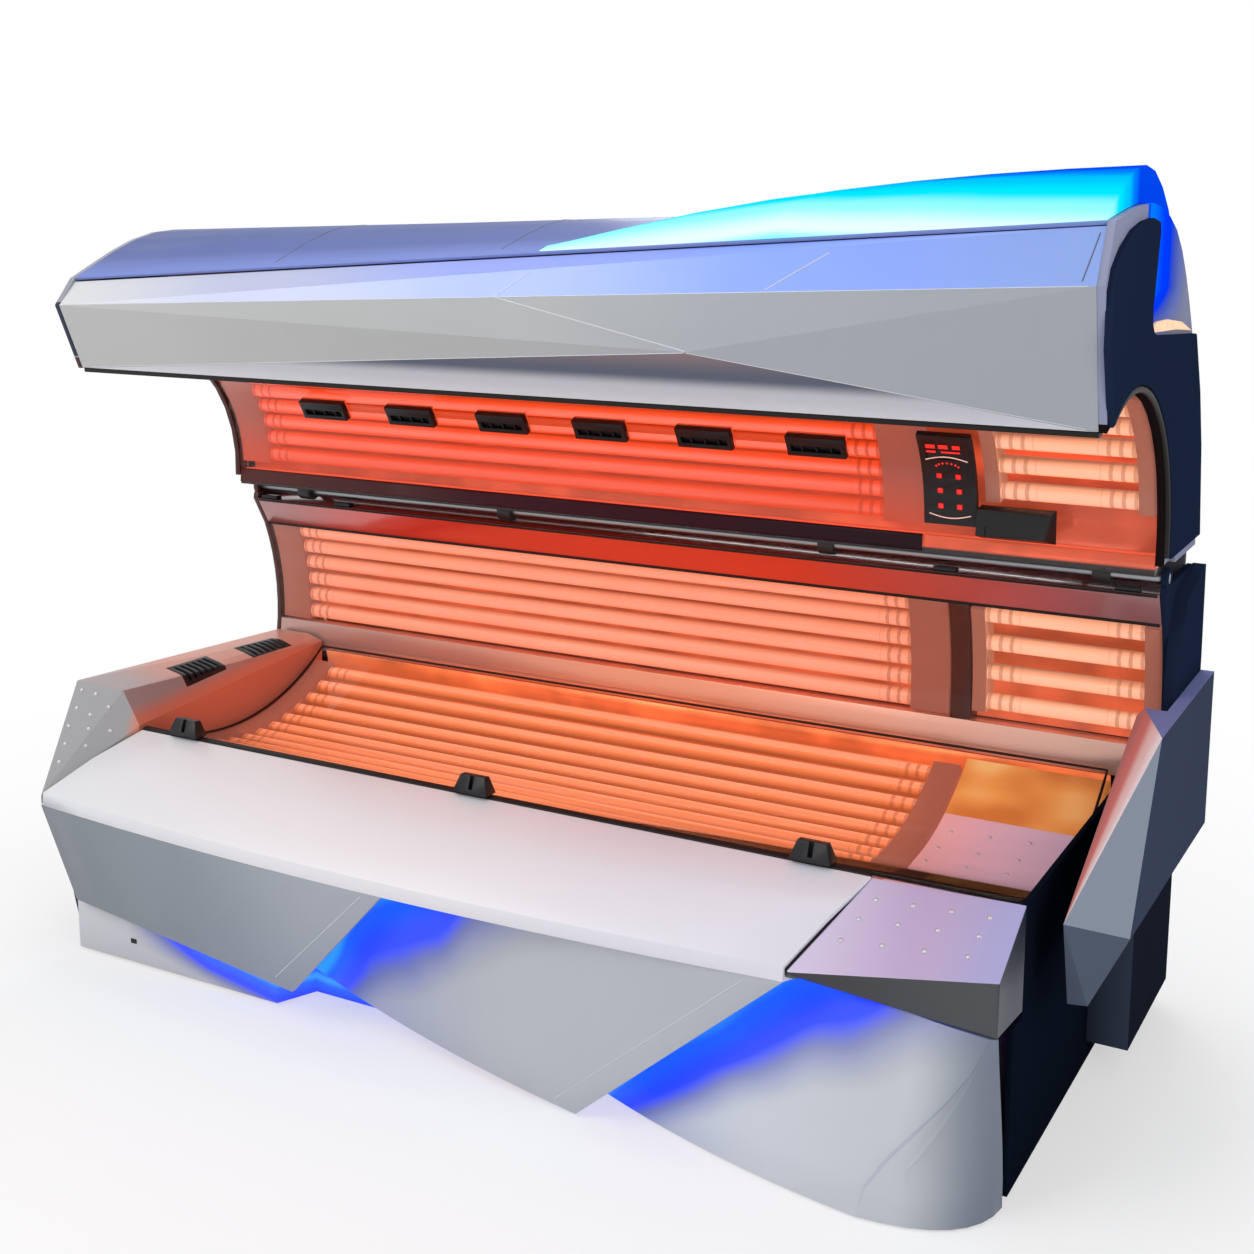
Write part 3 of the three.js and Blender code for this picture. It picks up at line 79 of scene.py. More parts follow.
class BED_PG_colours(bpy.types.PropertyGroup):
    """Colours of the bed, in linear light"""

    navy: colour("Navy Gloss", "End panels", (0.013, 0.022, 0.050))
    black: colour("Black Trim", "Trim, nozzles and catches", (0.006, 0.006, 0.008))
    canopy_glow: colour("Canopy Lamps", "Light of the canopy tubes", (1.0, 0.085, 0.020))
    wall_glow: colour("Wall Lamps", "Light of the wall tubes", (1.0, 0.29, 0.155))
    bench_glow: colour("Bench Lamps", "Light of the bench tubes", (1.0, 0.24, 0.080))
    face_glow: colour("Face Lamps", "Light of the short tubes at the head", (1.0, 0.42, 0.24))
    blue: colour("Blue Light", "Accent light away from its source", (0.0, 0.035, 1.0))
    cyan: colour("Cyan Light", "Accent light near its source", (0.0, 0.55, 1.0))
    key: colour("Keys", "Control keys", (0.62, 0.012, 0.01))


class BED_PG_sizes(bpy.types.PropertyGroup):
    """Sizes of the trim"""

    edge: length("Edge Radius", "Softened edge of the moulded pieces", 0.0016)
    seam: length("Seam Width", "Half width of a panel joint line", 0.0011)
    gasket: length("Gasket Radius", "Rubber bead round the clear sheets", 0.0042)
    dot: length("Dot Radius", "Raised dots of the grip areas", 0.0052)


class BED_PG_stage(bpy.types.PropertyGroup):
    """Camera and floor"""

    lens: number("Lens", "Focal length in millimetres", 48.4, min=10.0)
    shift: number("Shift", "Upward shift of the picture", -0.0997)
    place: bpy.props.FloatVectorProperty(
        name="Camera Place", description="Where the camera stands", default=(1.7975, -3.10, 1.75),
        size=3, subtype="TRANSLATION", unit="LENGTH")
    turn: number("Camera Turn", "Azimuth of the camera", math.radians(29.0), subtype="ANGLE")
    dip: number("Camera Dip", "Downward tilt of the camera", math.radians(9.99), subtype="ANGLE")
    floor: colour("Floor", "Pale studio floor", (0.93, 0.93, 0.94))


def colours():
    return bpy.context.scene.bed_colours


def sizes():
    return bpy.context.scene.bed_sizes


# Shapes

DOME_RISE = 0.45    # height of a dome over its radius
SLAB_SINK = 0.001   # how far a plate is let into the head end


def surface(node):
    """A CAD node's mesh, ready to be searched."""
    mesh = NODES[node].data
    return BVHTree.FromPolygons([v.co for v in mesh.vertices], [p.vertices[:] for p in mesh.polygons])


def land(tree, start, way):
    """Point and normal where a line from start first meets a surface."""
    point, normal, _, _ = tree.ray_cast(Vector(start), Vector(way).normalized())
    if point is None:
        raise RuntimeError(f"nothing lies below {tuple(start)}")
    return point, normal


def facing(normal):
    """Turn that takes +Z to a normal."""
    return Vector(normal).to_track_quat("Z", "Y").to_matrix().to_4x4()


def between(a, b, count):
    """Evenly spaced points from a to b."""
    return [Vector(a).lerp(Vector(b), i / (count - 1)) for i in range(count)]


def on_front(node, a, b, count=9):
    """Points of a straight (x, z) line laid on a node's front."""
    tree = surface(node)
    return [land(tree, (x, -1.0, z), (0, 1, 0))[0] for x, z, _ in between((*a, 0), (*b, 0), count)]


def arch(radius, low, high, count):
    """(y, z) points of an arc about the tunnel's axis between two angles in degrees."""
    turns = [math.radians(low + (high - low) * i / (count - 1)) for i in range(count)]
    return [(TUNNEL.y + radius * math.cos(t), TUNNEL.z + radius * math.sin(t)) for t in turns]


def new_verts(grown):
    """The vertices among what an extrusion gave."""
    return [v for v in grown["geom"] if isinstance(v, bmesh.types.BMVert)]


def bevel_edges(shape, edges, width, segments):
    bmesh.ops.bevel(shape, geom=list(edges), offset=width, segments=segments, profile=0.5,
                    affect="EDGES", material=-1)


def soft_block(shape, place, size, edge, segments):
    """Adds a block with softened edges."""
    made = bmesh.ops.create_cube(shape, size=1.0, matrix=place @ Matrix.Diagonal((*size, 1.0)))
    bevel_edges(shape, {e for v in made["verts"] for e in v.link_edges}, edge, segments)


def dome(shape, point, normal, radius):
    """Adds a low dome that stands on a surface."""
    turn = Matrix.Translation(point) @ facing(normal) @ Matrix.Diagonal((1.0, 1.0, DOME_RISE, 1.0))
    bmesh.ops.create_uvsphere(shape, u_segments=12, v_segments=6, radius=radius, matrix=turn)


def slab(outline, thick, edge):
    """A plate on the head end with a softened outer rim, from (y, z) points."""
    shape = bmesh.new()
    face = shape.faces.new([shape.verts.new((HEAD_X - SLAB_SINK, y, z)) for y, z in outline])
    outer = new_verts(bmesh.ops.extrude_face_region(shape, geom=[face]))
    bmesh.ops.translate(shape, verts=outer, vec=(thick, 0, 0))
    bmesh.ops.recalc_face_normals(shape, faces=shape.faces)
    bevel_edges(shape, [e for e in shape.edges if all(v in outer for v in e.verts)], edge, 3)
    return shape


def strip_along(x, reach, route, thick, lean=0.0):
    """A thin sheet along (y, z) points, drawn out along X; its last points lean by so much in X."""
    shape = bmesh.new()
    last = len(route) - 1
    ring = [shape.verts.new((x + lean * i / last, y, z)) for i, (y, z) in enumerate(route)]
    edges = [shape.edges.new(pair) for pair in zip(ring, ring[1:])]
    far = new_verts(bmesh.ops.extrude_edge_only(shape, edges=edges))
    bmesh.ops.translate(shape, verts=far, vec=(reach, 0, 0))
    bmesh.ops.solidify(shape, geom=shape.faces[:], thickness=thick)
    bmesh.ops.recalc_face_normals(shape, faces=shape.faces)
    return shape


def settle(name, data, paint, body):
    """Makes a finished piece and lets it move with its body."""
    data.materials.append(MADE[paint])
    piece = bpy.data.objects.new(name, data)
    bpy.context.scene.collection.objects.link(piece)
    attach(piece, body)


def place_piece(name, shape, paint, body, smooth=True):
    """A piece from a bmesh."""
    mesh = bpy.data.meshes.new(name)
    shape.to_mesh(mesh)
    shape.free()
    for face in mesh.polygons:
        face.use_smooth = smooth
    settle(name, mesh, paint, body)


def bead(name, routes, radius, paint, body):
    """A round bead along one or more routes of points."""
    curve = bpy.data.curves.new(name, "CURVE")
    curve.dimensions = "3D"
    curve.bevel_depth = radius
    curve.bevel_resolution = 2
    curve.use_fill_caps = True
    for route in routes:
        line = curve.splines.new("POLY")
        line.points.add(len(route) - 1)
        for spot, point in zip(line.points, route):
            spot.co = (*point, 1.0)
    settle(name, curve, paint, body)


# Shader nodes

def add_node(tree, kind, inputs, **settings):
    """A shader node with settings, and with wires or values on its inputs."""
    node = tree.nodes.new("ShaderNode" + kind)
    for label, value in settings.items():
        setattr(node, label, value)
    for label, value in inputs.items():
        plug(value, node.inputs[label])
    return node


def add_wire(tree, kind, inputs, output=0, **settings):
    """One output of a new node."""
    return Wire(tree, add_node(tree, kind, inputs, **settings).outputs[output])


def plug(value, socket):
    """Puts a wire, a number, a vector or a colour on an input."""
    if isinstance(value, Wire):
        value.tree.links.new(value.socket, socket)
    else:
        socket.default_value = (*value[:3], 1.0) if socket.type == "RGBA" else value


def math_node(tree, operation, *values):
    return add_wire(tree, "Math", dict(enumerate(values)), operation=operation)


def sums(operation):
    """A method that puts a wire, and a second value if one is given, through a Math node."""
    return lambda wire, *other: math_node(wire.tree, operation, wire, *other)


class Wire:
    """A node's output that sums can be written with."""

    def __init__(self, tree, socket):
        self.tree = tree
        self.socket = socket

    def clamped(self):
        self.socket.node.use_clamp = True
        return self

    def __rsub__(self, other):
        return math_node(self.tree, "SUBTRACT", other, self)

    __add__ = sums("ADD")
    __sub__ = sums("SUBTRACT")
    __mul__ = sums("MULTIPLY")
    __truediv__ = sums("DIVIDE")
    __pow__ = sums("POWER")
    __abs__ = sums("ABSOLUTE")
    __gt__ = sums("GREATER_THAN")
    __lt__ = sums("LESS_THAN")
    least = sums("MINIMUM")
    most = sums("MAXIMUM")
    rounded = sums("ROUND")
    root = sums("SQRT")
    sine = sums("SINE")


def spot(tree, output="Object"):
    """Place on the piece, or the way that its face looks."""
    return Wire(tree, tree.nodes.new("ShaderNodeTexCoord").outputs[output])


def axes(tree, output="Object"):
    """X, Y and Z of the place or of the normal."""
    return [Wire(tree, out) for out in add_node(tree, "SeparateXYZ", {0: spot(tree, output)}).outputs]


def map_range(value, low, high, start=0.0, end=1.0):
    """Takes low to start and high to end, and stays between them."""
    return add_wire(value.tree, "MapRange", {
        "Value": value, "From Min": low, "From Max": high, "To Min": start, "To Max": end})


def along(tree, axis, low, high):
    """0 to 1 along one axis of the piece."""
    return map_range(axes(tree)[axis], low, high)


def noise(tree, scale, detail):
    return add_wire(tree, "TexNoise", {"Vector": spot(tree), "Scale": scale, "Detail": detail}, "Fac")


def mix_colour(factor, a, b):
    """Colour a where the factor is 0, b where it is 1."""
    return add_wire(factor.tree, "Mix", {0: factor, 6: a, 7: b}, 2, data_type="RGBA")


def ramp(factor, *stops, ease="LINEAR"):
    """Colours at places from 0 to 1."""
    node = add_node(factor.tree, "ValToRGB", {0: factor})
    node.color_ramp.interpolation = ease
    points = node.color_ramp.elements
    while len(points) < len(stops):
        points.new(0.5)
    for point, (place, tone) in zip(points, stops):
        point.position = place
        point.color = (*tone[:3], 1.0)
    return Wire(factor.tree, node.outputs[0])


def sweep(axis, low, high, *stops):
    """Maker of a colour that runs along one axis of the piece."""
    return lambda tree: ramp(along(tree, axis, low, high), *stops, ease="EASE")


def tone_in(tree, tone):
    """A colour as it is, or what a maker of a colour makes in a tree."""
    return tone(tree) if callable(tone) else tone


def dim(tone, share):
    return tuple(c * share for c in tone)


def from_axis(tree):
    """Distance from the tunnel's axis."""
    _, y, z = axes(tree)
    return ((y - TUNNEL.y) ** 2.0 + (z - TUNNEL.z) ** 2.0).root()


def any_ray(tree, first, *others):
    """1 for rays of any of the kinds."""
    kinds = tree.nodes.new("ShaderNodeLightPath").outputs
    some = Wire(tree, kinds[first])
    for kind in others:
        some = (some + Wire(tree, kinds[kind])).clamped()
    return some


def seen_plainly(tree):
    """1 for rays that show the backdrop."""
    return any_ray(tree, "Is Camera Ray", "Is Glossy Ray", "Is Transmission Ray")


def mix_shaders(factor, first, second, out):
    """First shader where the factor is 0, second where it is 1."""
    tree = factor.tree
    mixed = add_node(tree, "MixShader", {0: factor})
    tree.links.new(first.outputs[0], mixed.inputs[1])
    tree.links.new(second.outputs[0], mixed.inputs[2])
    tree.links.new(mixed.outputs[0], out)


# Node groups

def group(name, inputs, *outputs):
    """A node group of numbers and colours: its tree, its inputs as wires, the sockets of its output."""
    tree = bpy.data.node_groups.new(name, "ShaderNodeTree")
    for label, value in inputs.items():
        single = isinstance(value, float)
        kind = "NodeSocketFloat" if single else "NodeSocketColor"
        socket = tree.interface.new_socket(label, in_out="INPUT", socket_type=kind)
        socket.default_value = value if single else (*value, 1.0)
    for label in outputs:
        kind = "NodeSocketColor" if label == "Color" else "NodeSocketFloat"
        tree.interface.new_socket(label, in_out="OUTPUT", socket_type=kind)
    given = tree.nodes.new("NodeGroupInput").outputs
    out = tree.nodes.new("NodeGroupOutput").inputs
    return tree, {label: Wire(tree, given[label]) for label in inputs}, out


def use_group(tree, name, **values):
    """Puts a node group in a tree; gives its outputs as wires."""
    node = tree.nodes.new("ShaderNodeGroup")
    node.node_tree = bpy.data.node_groups[name]
    for label, value in values.items():
        plug(value, node.inputs[label.replace("_", " ")])
    return {out.name: Wire(tree, out) for out in node.outputs}


def make_paint_grain():
    """Fine flake, slow unevenness and handling haze of a sprayed or moulded skin."""
    tree, given, out = group(
        "Paint Grain", {"Color": (0.5, 0.5, 0.5), "Flake": 0.05, "Roughness": 0.35, "Haze": 0.08},
        "Color", "Roughness", "Height")
    flake = noise(tree, 900.0, 2.0)
    swing = (flake - 0.5) + (noise(tree, 3.2, 4.0) - 0.5) * 1.4
    amount = swing * given["Flake"] + 1.0
    tone = add_wire(tree, "VectorMath", {0: given["Color"], "Scale": amount}, operation="SCALE")
    plug(tone, out["Color"])
    hand = (noise(tree, 11.0, 5.0) - 0.5) * given["Haze"]
    plug((given["Roughness"] + hand).clamped(), out["Roughness"])
    plug(flake, out["Height"])


def make_edge_light():
    """Light that fades away from a slanted edge in the XZ plane."""
    tree, given, out = group(
        "Edge Light", {"Foot X": 0.0, "Foot Z": 0.0, "Slope": 1.0, "Reach": 0.3, "Top Z": 0.4},
        "Mask")
    x, _, z = axes(tree)
    edge = given["Foot X"] + (z - given["Foot Z"]) * given["Slope"]
    width = given["Reach"] * (z / given["Top Z"] * 0.65 + 0.35)
    away = (x - edge) / width
    wave = (noise(tree, 4.0, 1.0) - 0.5) * 0.5
    near = (1.0 - (away + wave)).clamped()
    below = ((given["Top Z"] - z) * 14.0).clamped()
    plug(near ** 1.5 * (away > -0.25) * below, out["Mask"])


def make_facet_tone():
    """One colour for faces that look up, one for upright faces and one for undersides: painted light and
    shade by the way each face looks.
    """
    tree, given, out = group(
        "Facet Tone", {"Up": (0.8, 0.8, 0.8), "Front": (0.5, 0.5, 0.5), "Under": (0.2, 0.2, 0.2),
                       "Low": -0.45, "High": 0.28},
        "Color")
    tilt = axes(tree, "Normal")[Z]
    up = ((tilt - given["High"]) * 9.0).clamped()
    down = ((given["Low"] - tilt) * 14.0).clamped()
    plug(mix_colour(down, mix_colour(up, given["Front"], given["Up"]), given["Under"]), out["Color"])


def make_tube_crest():
    """How squarely a tube's skin faces the user: 1 along its crest, 0 at its flanks."""
    tree, given, out = group("Tube Crest", {"Centre Y": 0.0, "Centre Z": 0.0}, "Crest")
    _, y, z = axes(tree)
    _, way_y, way_z = axes(tree, "Normal")
    to_y, to_z = given["Centre Y"] - y, given["Centre Z"] - z
    square = (to_y * way_y + to_z * way_z) / (to_y ** 2.0 + to_z ** 2.0).root()
    plug(square.most(0.0), out["Crest"])


# Materials

MADE = {}
WALL_CENTRE = Vector((0.0, -0.256134, 0.694511))    # centre of the wall sheet's arc
BENCH_CENTRE = Vector((0.0, -0.025916, 1.046790))    # centre of the bench sheet's arc
BUMP_HEIGHT = 0.0004
RING_PITCH = 0.024      # between the rings at a tube's end
RING_REACH = 0.075      # length of a tube's ringed end
NIGHT = (0.0, 0.01, 0.06)       # dark base under the painted blue light
GAP = (0.004, 0.004, 0.006)     # depth of a joint
ACRYLIC = (1.0, 0.96, 0.94)


def inputs_of(material):
    return material.node_tree.nodes["Principled BSDF"].inputs


def blank(name, **settings):
    """A material with one Principled shader; gives its tree and the shader's inputs too."""
    material = bpy.data.materials.new(name)
    material.use_nodes = True
    shader = inputs_of(material)
    for label, value in settings.items():
        plug(value, shader[label.replace("_", " ")])
    return material, material.node_tree, shader


def painted(name, tone, roughness, flake=0.05, haze=0.08, bump=0.0, gloss=0.5, **settings):
    """Sprayed or moulded skin with grain, in a colour or what a maker of a colour makes."""
    material, tree, shader = blank(name, Specular_IOR_Level=gloss, **settings)
    grain = use_group(tree, "Paint Grain", Color=tone_in(tree, tone), Flake=flake,
                      Roughness=roughness, Haze=haze)
    plug(grain["Color"], shader["Base Color"])
    plug(grain["Roughness"], shader["Roughness"])
    if bump:
        plug(add_wire(tree, "Bump", {
            "Strength": bump, "Distance": BUMP_HEIGHT, "Height": grain["Height"]}), shader["Normal"])
    return material


def paint_of(material):
    """The wire that colours a material."""
    return Wire(material.node_tree, inputs_of(material)["Base Color"].links[0].from_socket)


def cover_paint(material, mask, tone):
    """Lays another colour over a material's paint where a mask is 1."""
    plug(mix_colour(mask, paint_of(material), tone), inputs_of(material)["Base Color"])


def shine(material, tone, strength=1.0):
    """Lets a material give off light."""
    shader = inputs_of(material)
    plug(tone, shader["Emission Color"])
    plug(strength, shader["Emission Strength"])


def tint_light(material, mask):
    """Painted blue light that takes the place of the paint where it is strong, over a dark base."""
    glow = ramp(mask, (0.0, (0, 0, 0)), (0.22, (0.0, 0.012, 0.16)), (0.50, colours().blue),
                (0.80, (0.0, 0.09, 1.0)), (1.0, (0.02, 0.30, 1.0)), ease="EASE")
    cover_paint(material, (mask * 2.2).clamped() * 0.94, NIGHT)
    shine(material, glow)


def make_skirt(name, tone, **edge):
    """Skirt paint with the light that washes it from behind the next panel's edge."""
    material = painted(name, tone, 0.40, 0.06, 0.10, 0.02, Metallic=0.3)
    tint_light(material, use_group(material.node_tree, "Edge Light", Top_Z=0.42, **edge)["Mask"])
    return material


def facets(up, front, under, low=-0.45, high=0.28):
    """Maker of a colour that follows the way a face looks: painted light and shade by facing."""
    return lambda tree: use_group(
        tree, "Facet Tone", Up=tone_in(tree, up), Front=tone_in(tree, front),
        Under=tone_in(tree, under), Low=low, High=high)["Color"]


def fin_tone(tree):
    """Tone of each facet of the side fin: painted light on the up-facing facets, painted shade on the outer
    face; its inner strip catches the lamps' red light and pales to a painted highlight.
    """
    x, _, z = axes(tree, "Normal")
    rise = along(tree, Z, FIN_NOSE.z, FIN_CROWN.z).most(0.02)
    strip = ramp(along(tree, X, FIN_NOSE.x, FIN_CROWN.x) / rise, (0.0, (0.46, 0.20, 0.20)),
                 (0.40, (0.62, 0.22, 0.20)), (0.70, (0.80, 0.62, 0.62)), (1.0, (0.88, 0.88, 0.92)),
                 ease="EASE")
    tone = mix_colour(z > 0.17, (0.095, 0.120, 0.165), (0.29, 0.33, 0.40))
    tone = mix_colour(x > 0.95, tone, (0.052, 0.066, 0.112))
    tone = mix_colour((x < -0.3) * (z > 0.3), tone, strip)
    return mix_colour(z > 0.85, tone, (0.19, 0.22, 0.46))


def post_tone(tree):
    """Slate on the post's front, darker on its outer side as painted shade."""
    return mix_colour(axes(tree, "Normal")[X] > 0.8, (0.042, 0.055, 0.088), (0.013, 0.016, 0.028))


def head_panel_tone(tree):
    """Lavender pad at the front; behind it, painted amber reflections of the lamps with pale streaks."""
    amber_reflection = ramp(noise(tree, 7.0, 1.0), (0.30, (0.62, 0.20, 0.045)), (0.52, (0.78, 0.34, 0.085)),
                 (0.70, (0.90, 0.55, 0.20)))
    pad = ramp(along(tree, X, 0.74, 1.05), (0.0, (0.74, 0.40, 0.42)), (0.5, (0.60, 0.42, 0.56)),
               (1.0, (0.48, 0.40, 0.58)))
    return mix_colour(along(tree, Y, 0.17, 0.19) > 0.5, pad, amber_reflection)


def lamp_glass(name, glow, node, centre, strip, gain=1.0, fall=None):
    """Lit tubes between holder strips: painted highlight along the crest, painted shade on the flanks, ringed
    ends.
    """
    low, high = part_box(node)
    material, tree, _ = blank(name, Roughness=0.28, Base_Color=dim(glow, 0.22), Specular_IOR_Level=0.2)
    place = along(tree, X, low.x, high.x)
    beyond = place.least(1.0 - place) * (high.x - low.x) - strip
    crest = use_group(tree, "Tube Crest", Centre_Y=centre.y, Centre_Z=centre.z)["Crest"]
    # painted shading round each tube: painted shade on the flanks, a painted highlight along the crest that
    # faces the axis
    body = ramp(crest, (0.0, dim(glow, 0.20)), (0.40, dim(glow, 0.58)), (0.78, dim(glow, 0.90)),
                (1.0, tuple(min(1.0, c * 0.88 + 0.12) for c in glow)))
    body = mix_colour(noise(tree, 5.0, 2.0) * 0.35, body, dim(glow, 0.55))
    ring = ((beyond * (2 * math.pi / RING_PITCH)).sine() > 0.45) * (beyond < RING_REACH)
    body = mix_colour(ring * 0.55, body, dim(glow, 0.22))
    # holder strips, given a dim painted glow of lamp light
    body = mix_colour(beyond < 0.0, body, (0.20, 0.070, 0.052))
    if fall:
        body = mix_colour(along(tree, Z, *fall), dim(glow, 0.5), body)
    shine(material, body, gain)
    return material


def make_clear():
    """Acrylic that lets the lamps' light through."""
    material, tree, shader = blank("Clear Acrylic", Transmission_Weight=1.0, IOR=1.03, Metallic=0.0,
                                   Base_Color=ACRYLIC, Coat_Weight=0.5, Coat_IOR=1.3, Coat_Roughness=0.02)
    plug(noise(tree, 9.0, 4.0) * 0.03, shader["Roughness"])
    mix_shaders(any_ray(tree, "Is Shadow Ray", "Is Diffuse Ray"), tree.nodes["Principled BSDF"],
                add_node(tree, "BsdfTransparent", {"Color": ACRYLIC}),
                tree.nodes["Material Output"].inputs["Surface"])
    return material


def make_reflector(name, tone, gain, floor=0.0):
    """Lamp-lit sheet metal: painted warm lamp light, rippled with painted reflections of the tubes in front
    of it.
    """
    material, tree, shader = blank(name, Roughness=0.30, Metallic=0.4)
    tube_reflection = add_wire(tree, "TexWave", {
        "Vector": spot(tree), "Scale": 7.0, "Distortion": 2.2, "Detail": 2.0}, "Fac", bands_direction="Y")
    glow = mix_colour(tube_reflection, dim(tone, 0.45), tone)
    if floor:
        glow = mix_colour(along(tree, Z, floor, floor + 0.004), (0.012, 0.010, 0.010), glow)
    plug(glow, shader["Base Color"])
    shine(material, glow, gain)
    return material


def make_head_panel():
    """Dotted panel under the bench sheet, faintly lit by the lamps."""
    material = painted("Head Panel Paint", head_panel_tone, 0.34, 0.05, 0.1, 0.02, 0.3)
    shine(material, paint_of(material), 0.30)
    return material


def make_nozzle():
    """Black nozzles on an air duct that shows lamp-lit through the sheet."""
    tone = colours()
    material = painted("Nozzle Trim", tone.black, 0.42, 0.12, 0.14, 0.05, 0.3)
    behind = from_axis(material.node_tree) > TUNNEL_RADIUS + 0.003
    shine(material, mix_colour(behind, (0.0, 0.0, 0.0), dim(tone.canopy_glow, 0.7)))
    return material


def make_cover():
    """Coated rear cover with joint lines and flush screws."""
    material = painted("Rear Cover Coating", (0.036, 0.042, 0.060), 0.50, 0.12, 0.15, 0.15)
    pitch = 0.20
    x, _, z = axes(material.node_tree)
    level = abs(z - 0.58)
    cover_paint(material, abs(abs(x) - 0.40).least(level) < 0.0016, GAP)
    step = (x + pitch / 2) / pitch
    off = (step - step.rounded()) * pitch
    row = abs(level - 0.026).least(abs(level - 0.425))
    reach = (off ** 2.0 + row ** 2.0).root()
    for radius, tone in ((0.0075, GAP), (0.0060, (0.30, 0.31, 0.33)), (0.0024, (0.020, 0.020, 0.022))):
        cover_paint(material, reach < radius, tone)
    return material


def make_plinth():
    """White plinth with painted blue light along a strip under the left skirt."""
    material = painted("Plinth Skin", (0.62, 0.62, 0.65), 0.4, 0.03, 0.08, 0.01)
    x, _, z = axes(material.node_tree)
    edge = map_range(x, -1.05, -0.50, 0.132, 0.040)
    near = (1.0 - abs((edge - z) / 0.075)).clamped()
    tint_light(material, near * ((x + 1.02) * 4.0).clamped())
    return material


def make_foot_end():
    """Grey end plate with a navy ring round the tunnel's dark mouth."""
    material = painted("End Plate Paint", (0.30, 0.31, 0.35), 0.36, 0.06, 0.1, 0.02, 0.25)
    reach = from_axis(material.node_tree)
    cover_paint(material, (reach > TUNNEL_RADIUS + 0.034) * (reach < 0.500), colours().navy)
    cover_paint(material, reach < TUNNEL_RADIUS + 0.030, (0.060, 0.018, 0.016))
    return material


def make_head_end():
    """Silver end plate, with painted blue light in the notch behind the navy flank."""
    material = painted("Head End Plate", (0.30, 0.32, 0.46), 0.36, 0.05, 0.1, 0.02, 0.0)
    tree = material.node_tree
    notch_glow = ((1.0 - along(tree, Y, -0.06, 0.30)).clamped() * along(tree, Z, 1.50, 1.60)).clamped()
    notch_glow = (notch_glow * along(tree, Y, -0.085, -0.055)).clamped()
    cover_paint(material, from_axis(tree) < TUNNEL_RADIUS + 0.018, (0.012, 0.008, 0.008))
    cover_paint(material, (notch_glow * 2.0).clamped(), NIGHT)
    shine(material, ramp(notch_glow, (0.0, (0, 0, 0)), (0.30, (0.0, 0.03, 0.30)), (0.6, colours().blue),
                         (1.0, (0.0, 0.20, 1.0)), ease="EASE"))
    return material


def make_end_cap():
    """Grey end cap, reddened by the lamps on its top and along its inner edge, with painted shade on its
    undersides.
    """
    top = sweep(Y, -0.32, 0.10, (0.0, (0.42, 0.40, 0.41)), (0.5, (0.66, 0.34, 0.27)),
                (1.0, (0.70, 0.36, 0.28)))
    material = painted("End Cap Paint", facets(top, (0.34, 0.34, 0.35), (0.10, 0.10, 0.12), -0.45, 0.80),
                       0.36, 0.05, 0.10, 0.02, Metallic=0.25)
    cover_paint(material, along(material.node_tree, X, -1.068, -1.050), (0.62, 0.25, 0.17))
    return material


def glow_paint(name, bright, faint):
    """Lit plastic with a slightly uneven glow."""
    material, tree, shader = blank(name, Roughness=0.35)
    tone = mix_colour(noise(tree, 60.0, 2.0), faint, bright)
    plug(tone, shader["Base Color"])
    shine(material, tone, 0.9)
    return material


def make_light_fin():
    """Lit roof fin: blue at its tip and upper edge, cyan to white along the middle."""
    material, tree, _ = blank("Lit Fin", Roughness=0.30, Base_Color=(0.0, 0.03, 0.12), Specular_IOR_Level=0.0)
    low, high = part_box("canopy_light_fin")
    slow = (noise(tree, 2.0, 1.0) - 0.5) * 0.12
    lobe = abs(along(tree, X, low.x, high.x) - 0.45) * 0.42
    heat = (along(tree, Y, low.y, low.y + 0.30) + slow + lobe).clamped()
    shine(material, ramp(
        heat, (0.0, (0.30, 0.95, 1.0)), (0.10, (0.85, 1.0, 1.0)), (0.34, (0.30, 0.97, 1.0)),
        (0.50, (0.0, 0.80, 1.0)), (0.70, colours().cyan), (0.88, (0.0, 0.16, 1.0)),
        (1.0, (0.0, 0.04, 0.75)), ease="EASE"))
    return material


def make_light_bar():
    """Blue light bars in the recesses between the skirts."""
    material, tree, _ = blank("Lit Bars", Roughness=0.25, Base_Color=(0.02, 0.05, 0.3))
    shine(material, ramp(noise(tree, 14.0, 2.0), (0.3, colours().blue), (0.7, (0.02, 0.25, 1.0))), 3.0)
    return material


def make_front():
    """Faceted canopy front with light and shade painted by facing: blue brow, silver face, dark scoop in
    painted shade with pale and red painted reflections.
    """
    brow = sweep(X, -1.2, 1.15, (0.0, (0.66, 0.66, 0.67)), (0.25, (0.47, 0.50, 0.68)),
                 (0.5, (0.31, 0.38, 0.84)), (0.75, (0.20, 0.30, 0.80)), (1.0, (0.24, 0.35, 0.72)))
    face = sweep(X, -1.2, 1.15, (0.0, (0.50, 0.50, 0.49)), (0.5, (0.44, 0.45, 0.45)),
                 (0.75, (0.38, 0.40, 0.43)), (1.0, (0.36, 0.38, 0.42)))
    # the scoop: a pale painted reflection near the lip, painted shade above it, a red painted reflection of
    # the lamps at its top
    under = sweep(Z, 1.378, 1.490, (0.0, (0.66, 0.68, 0.72)), (0.30, (0.56, 0.58, 0.62)),
                  (0.55, (0.10, 0.12, 0.17)), (1.0, (0.26, 0.19, 0.20)))
    return painted("Canopy Front Paint", facets(brow, face, under), 0.36, 0.05, 0.10, 0.02, 0.35,
                   Metallic=0.25)


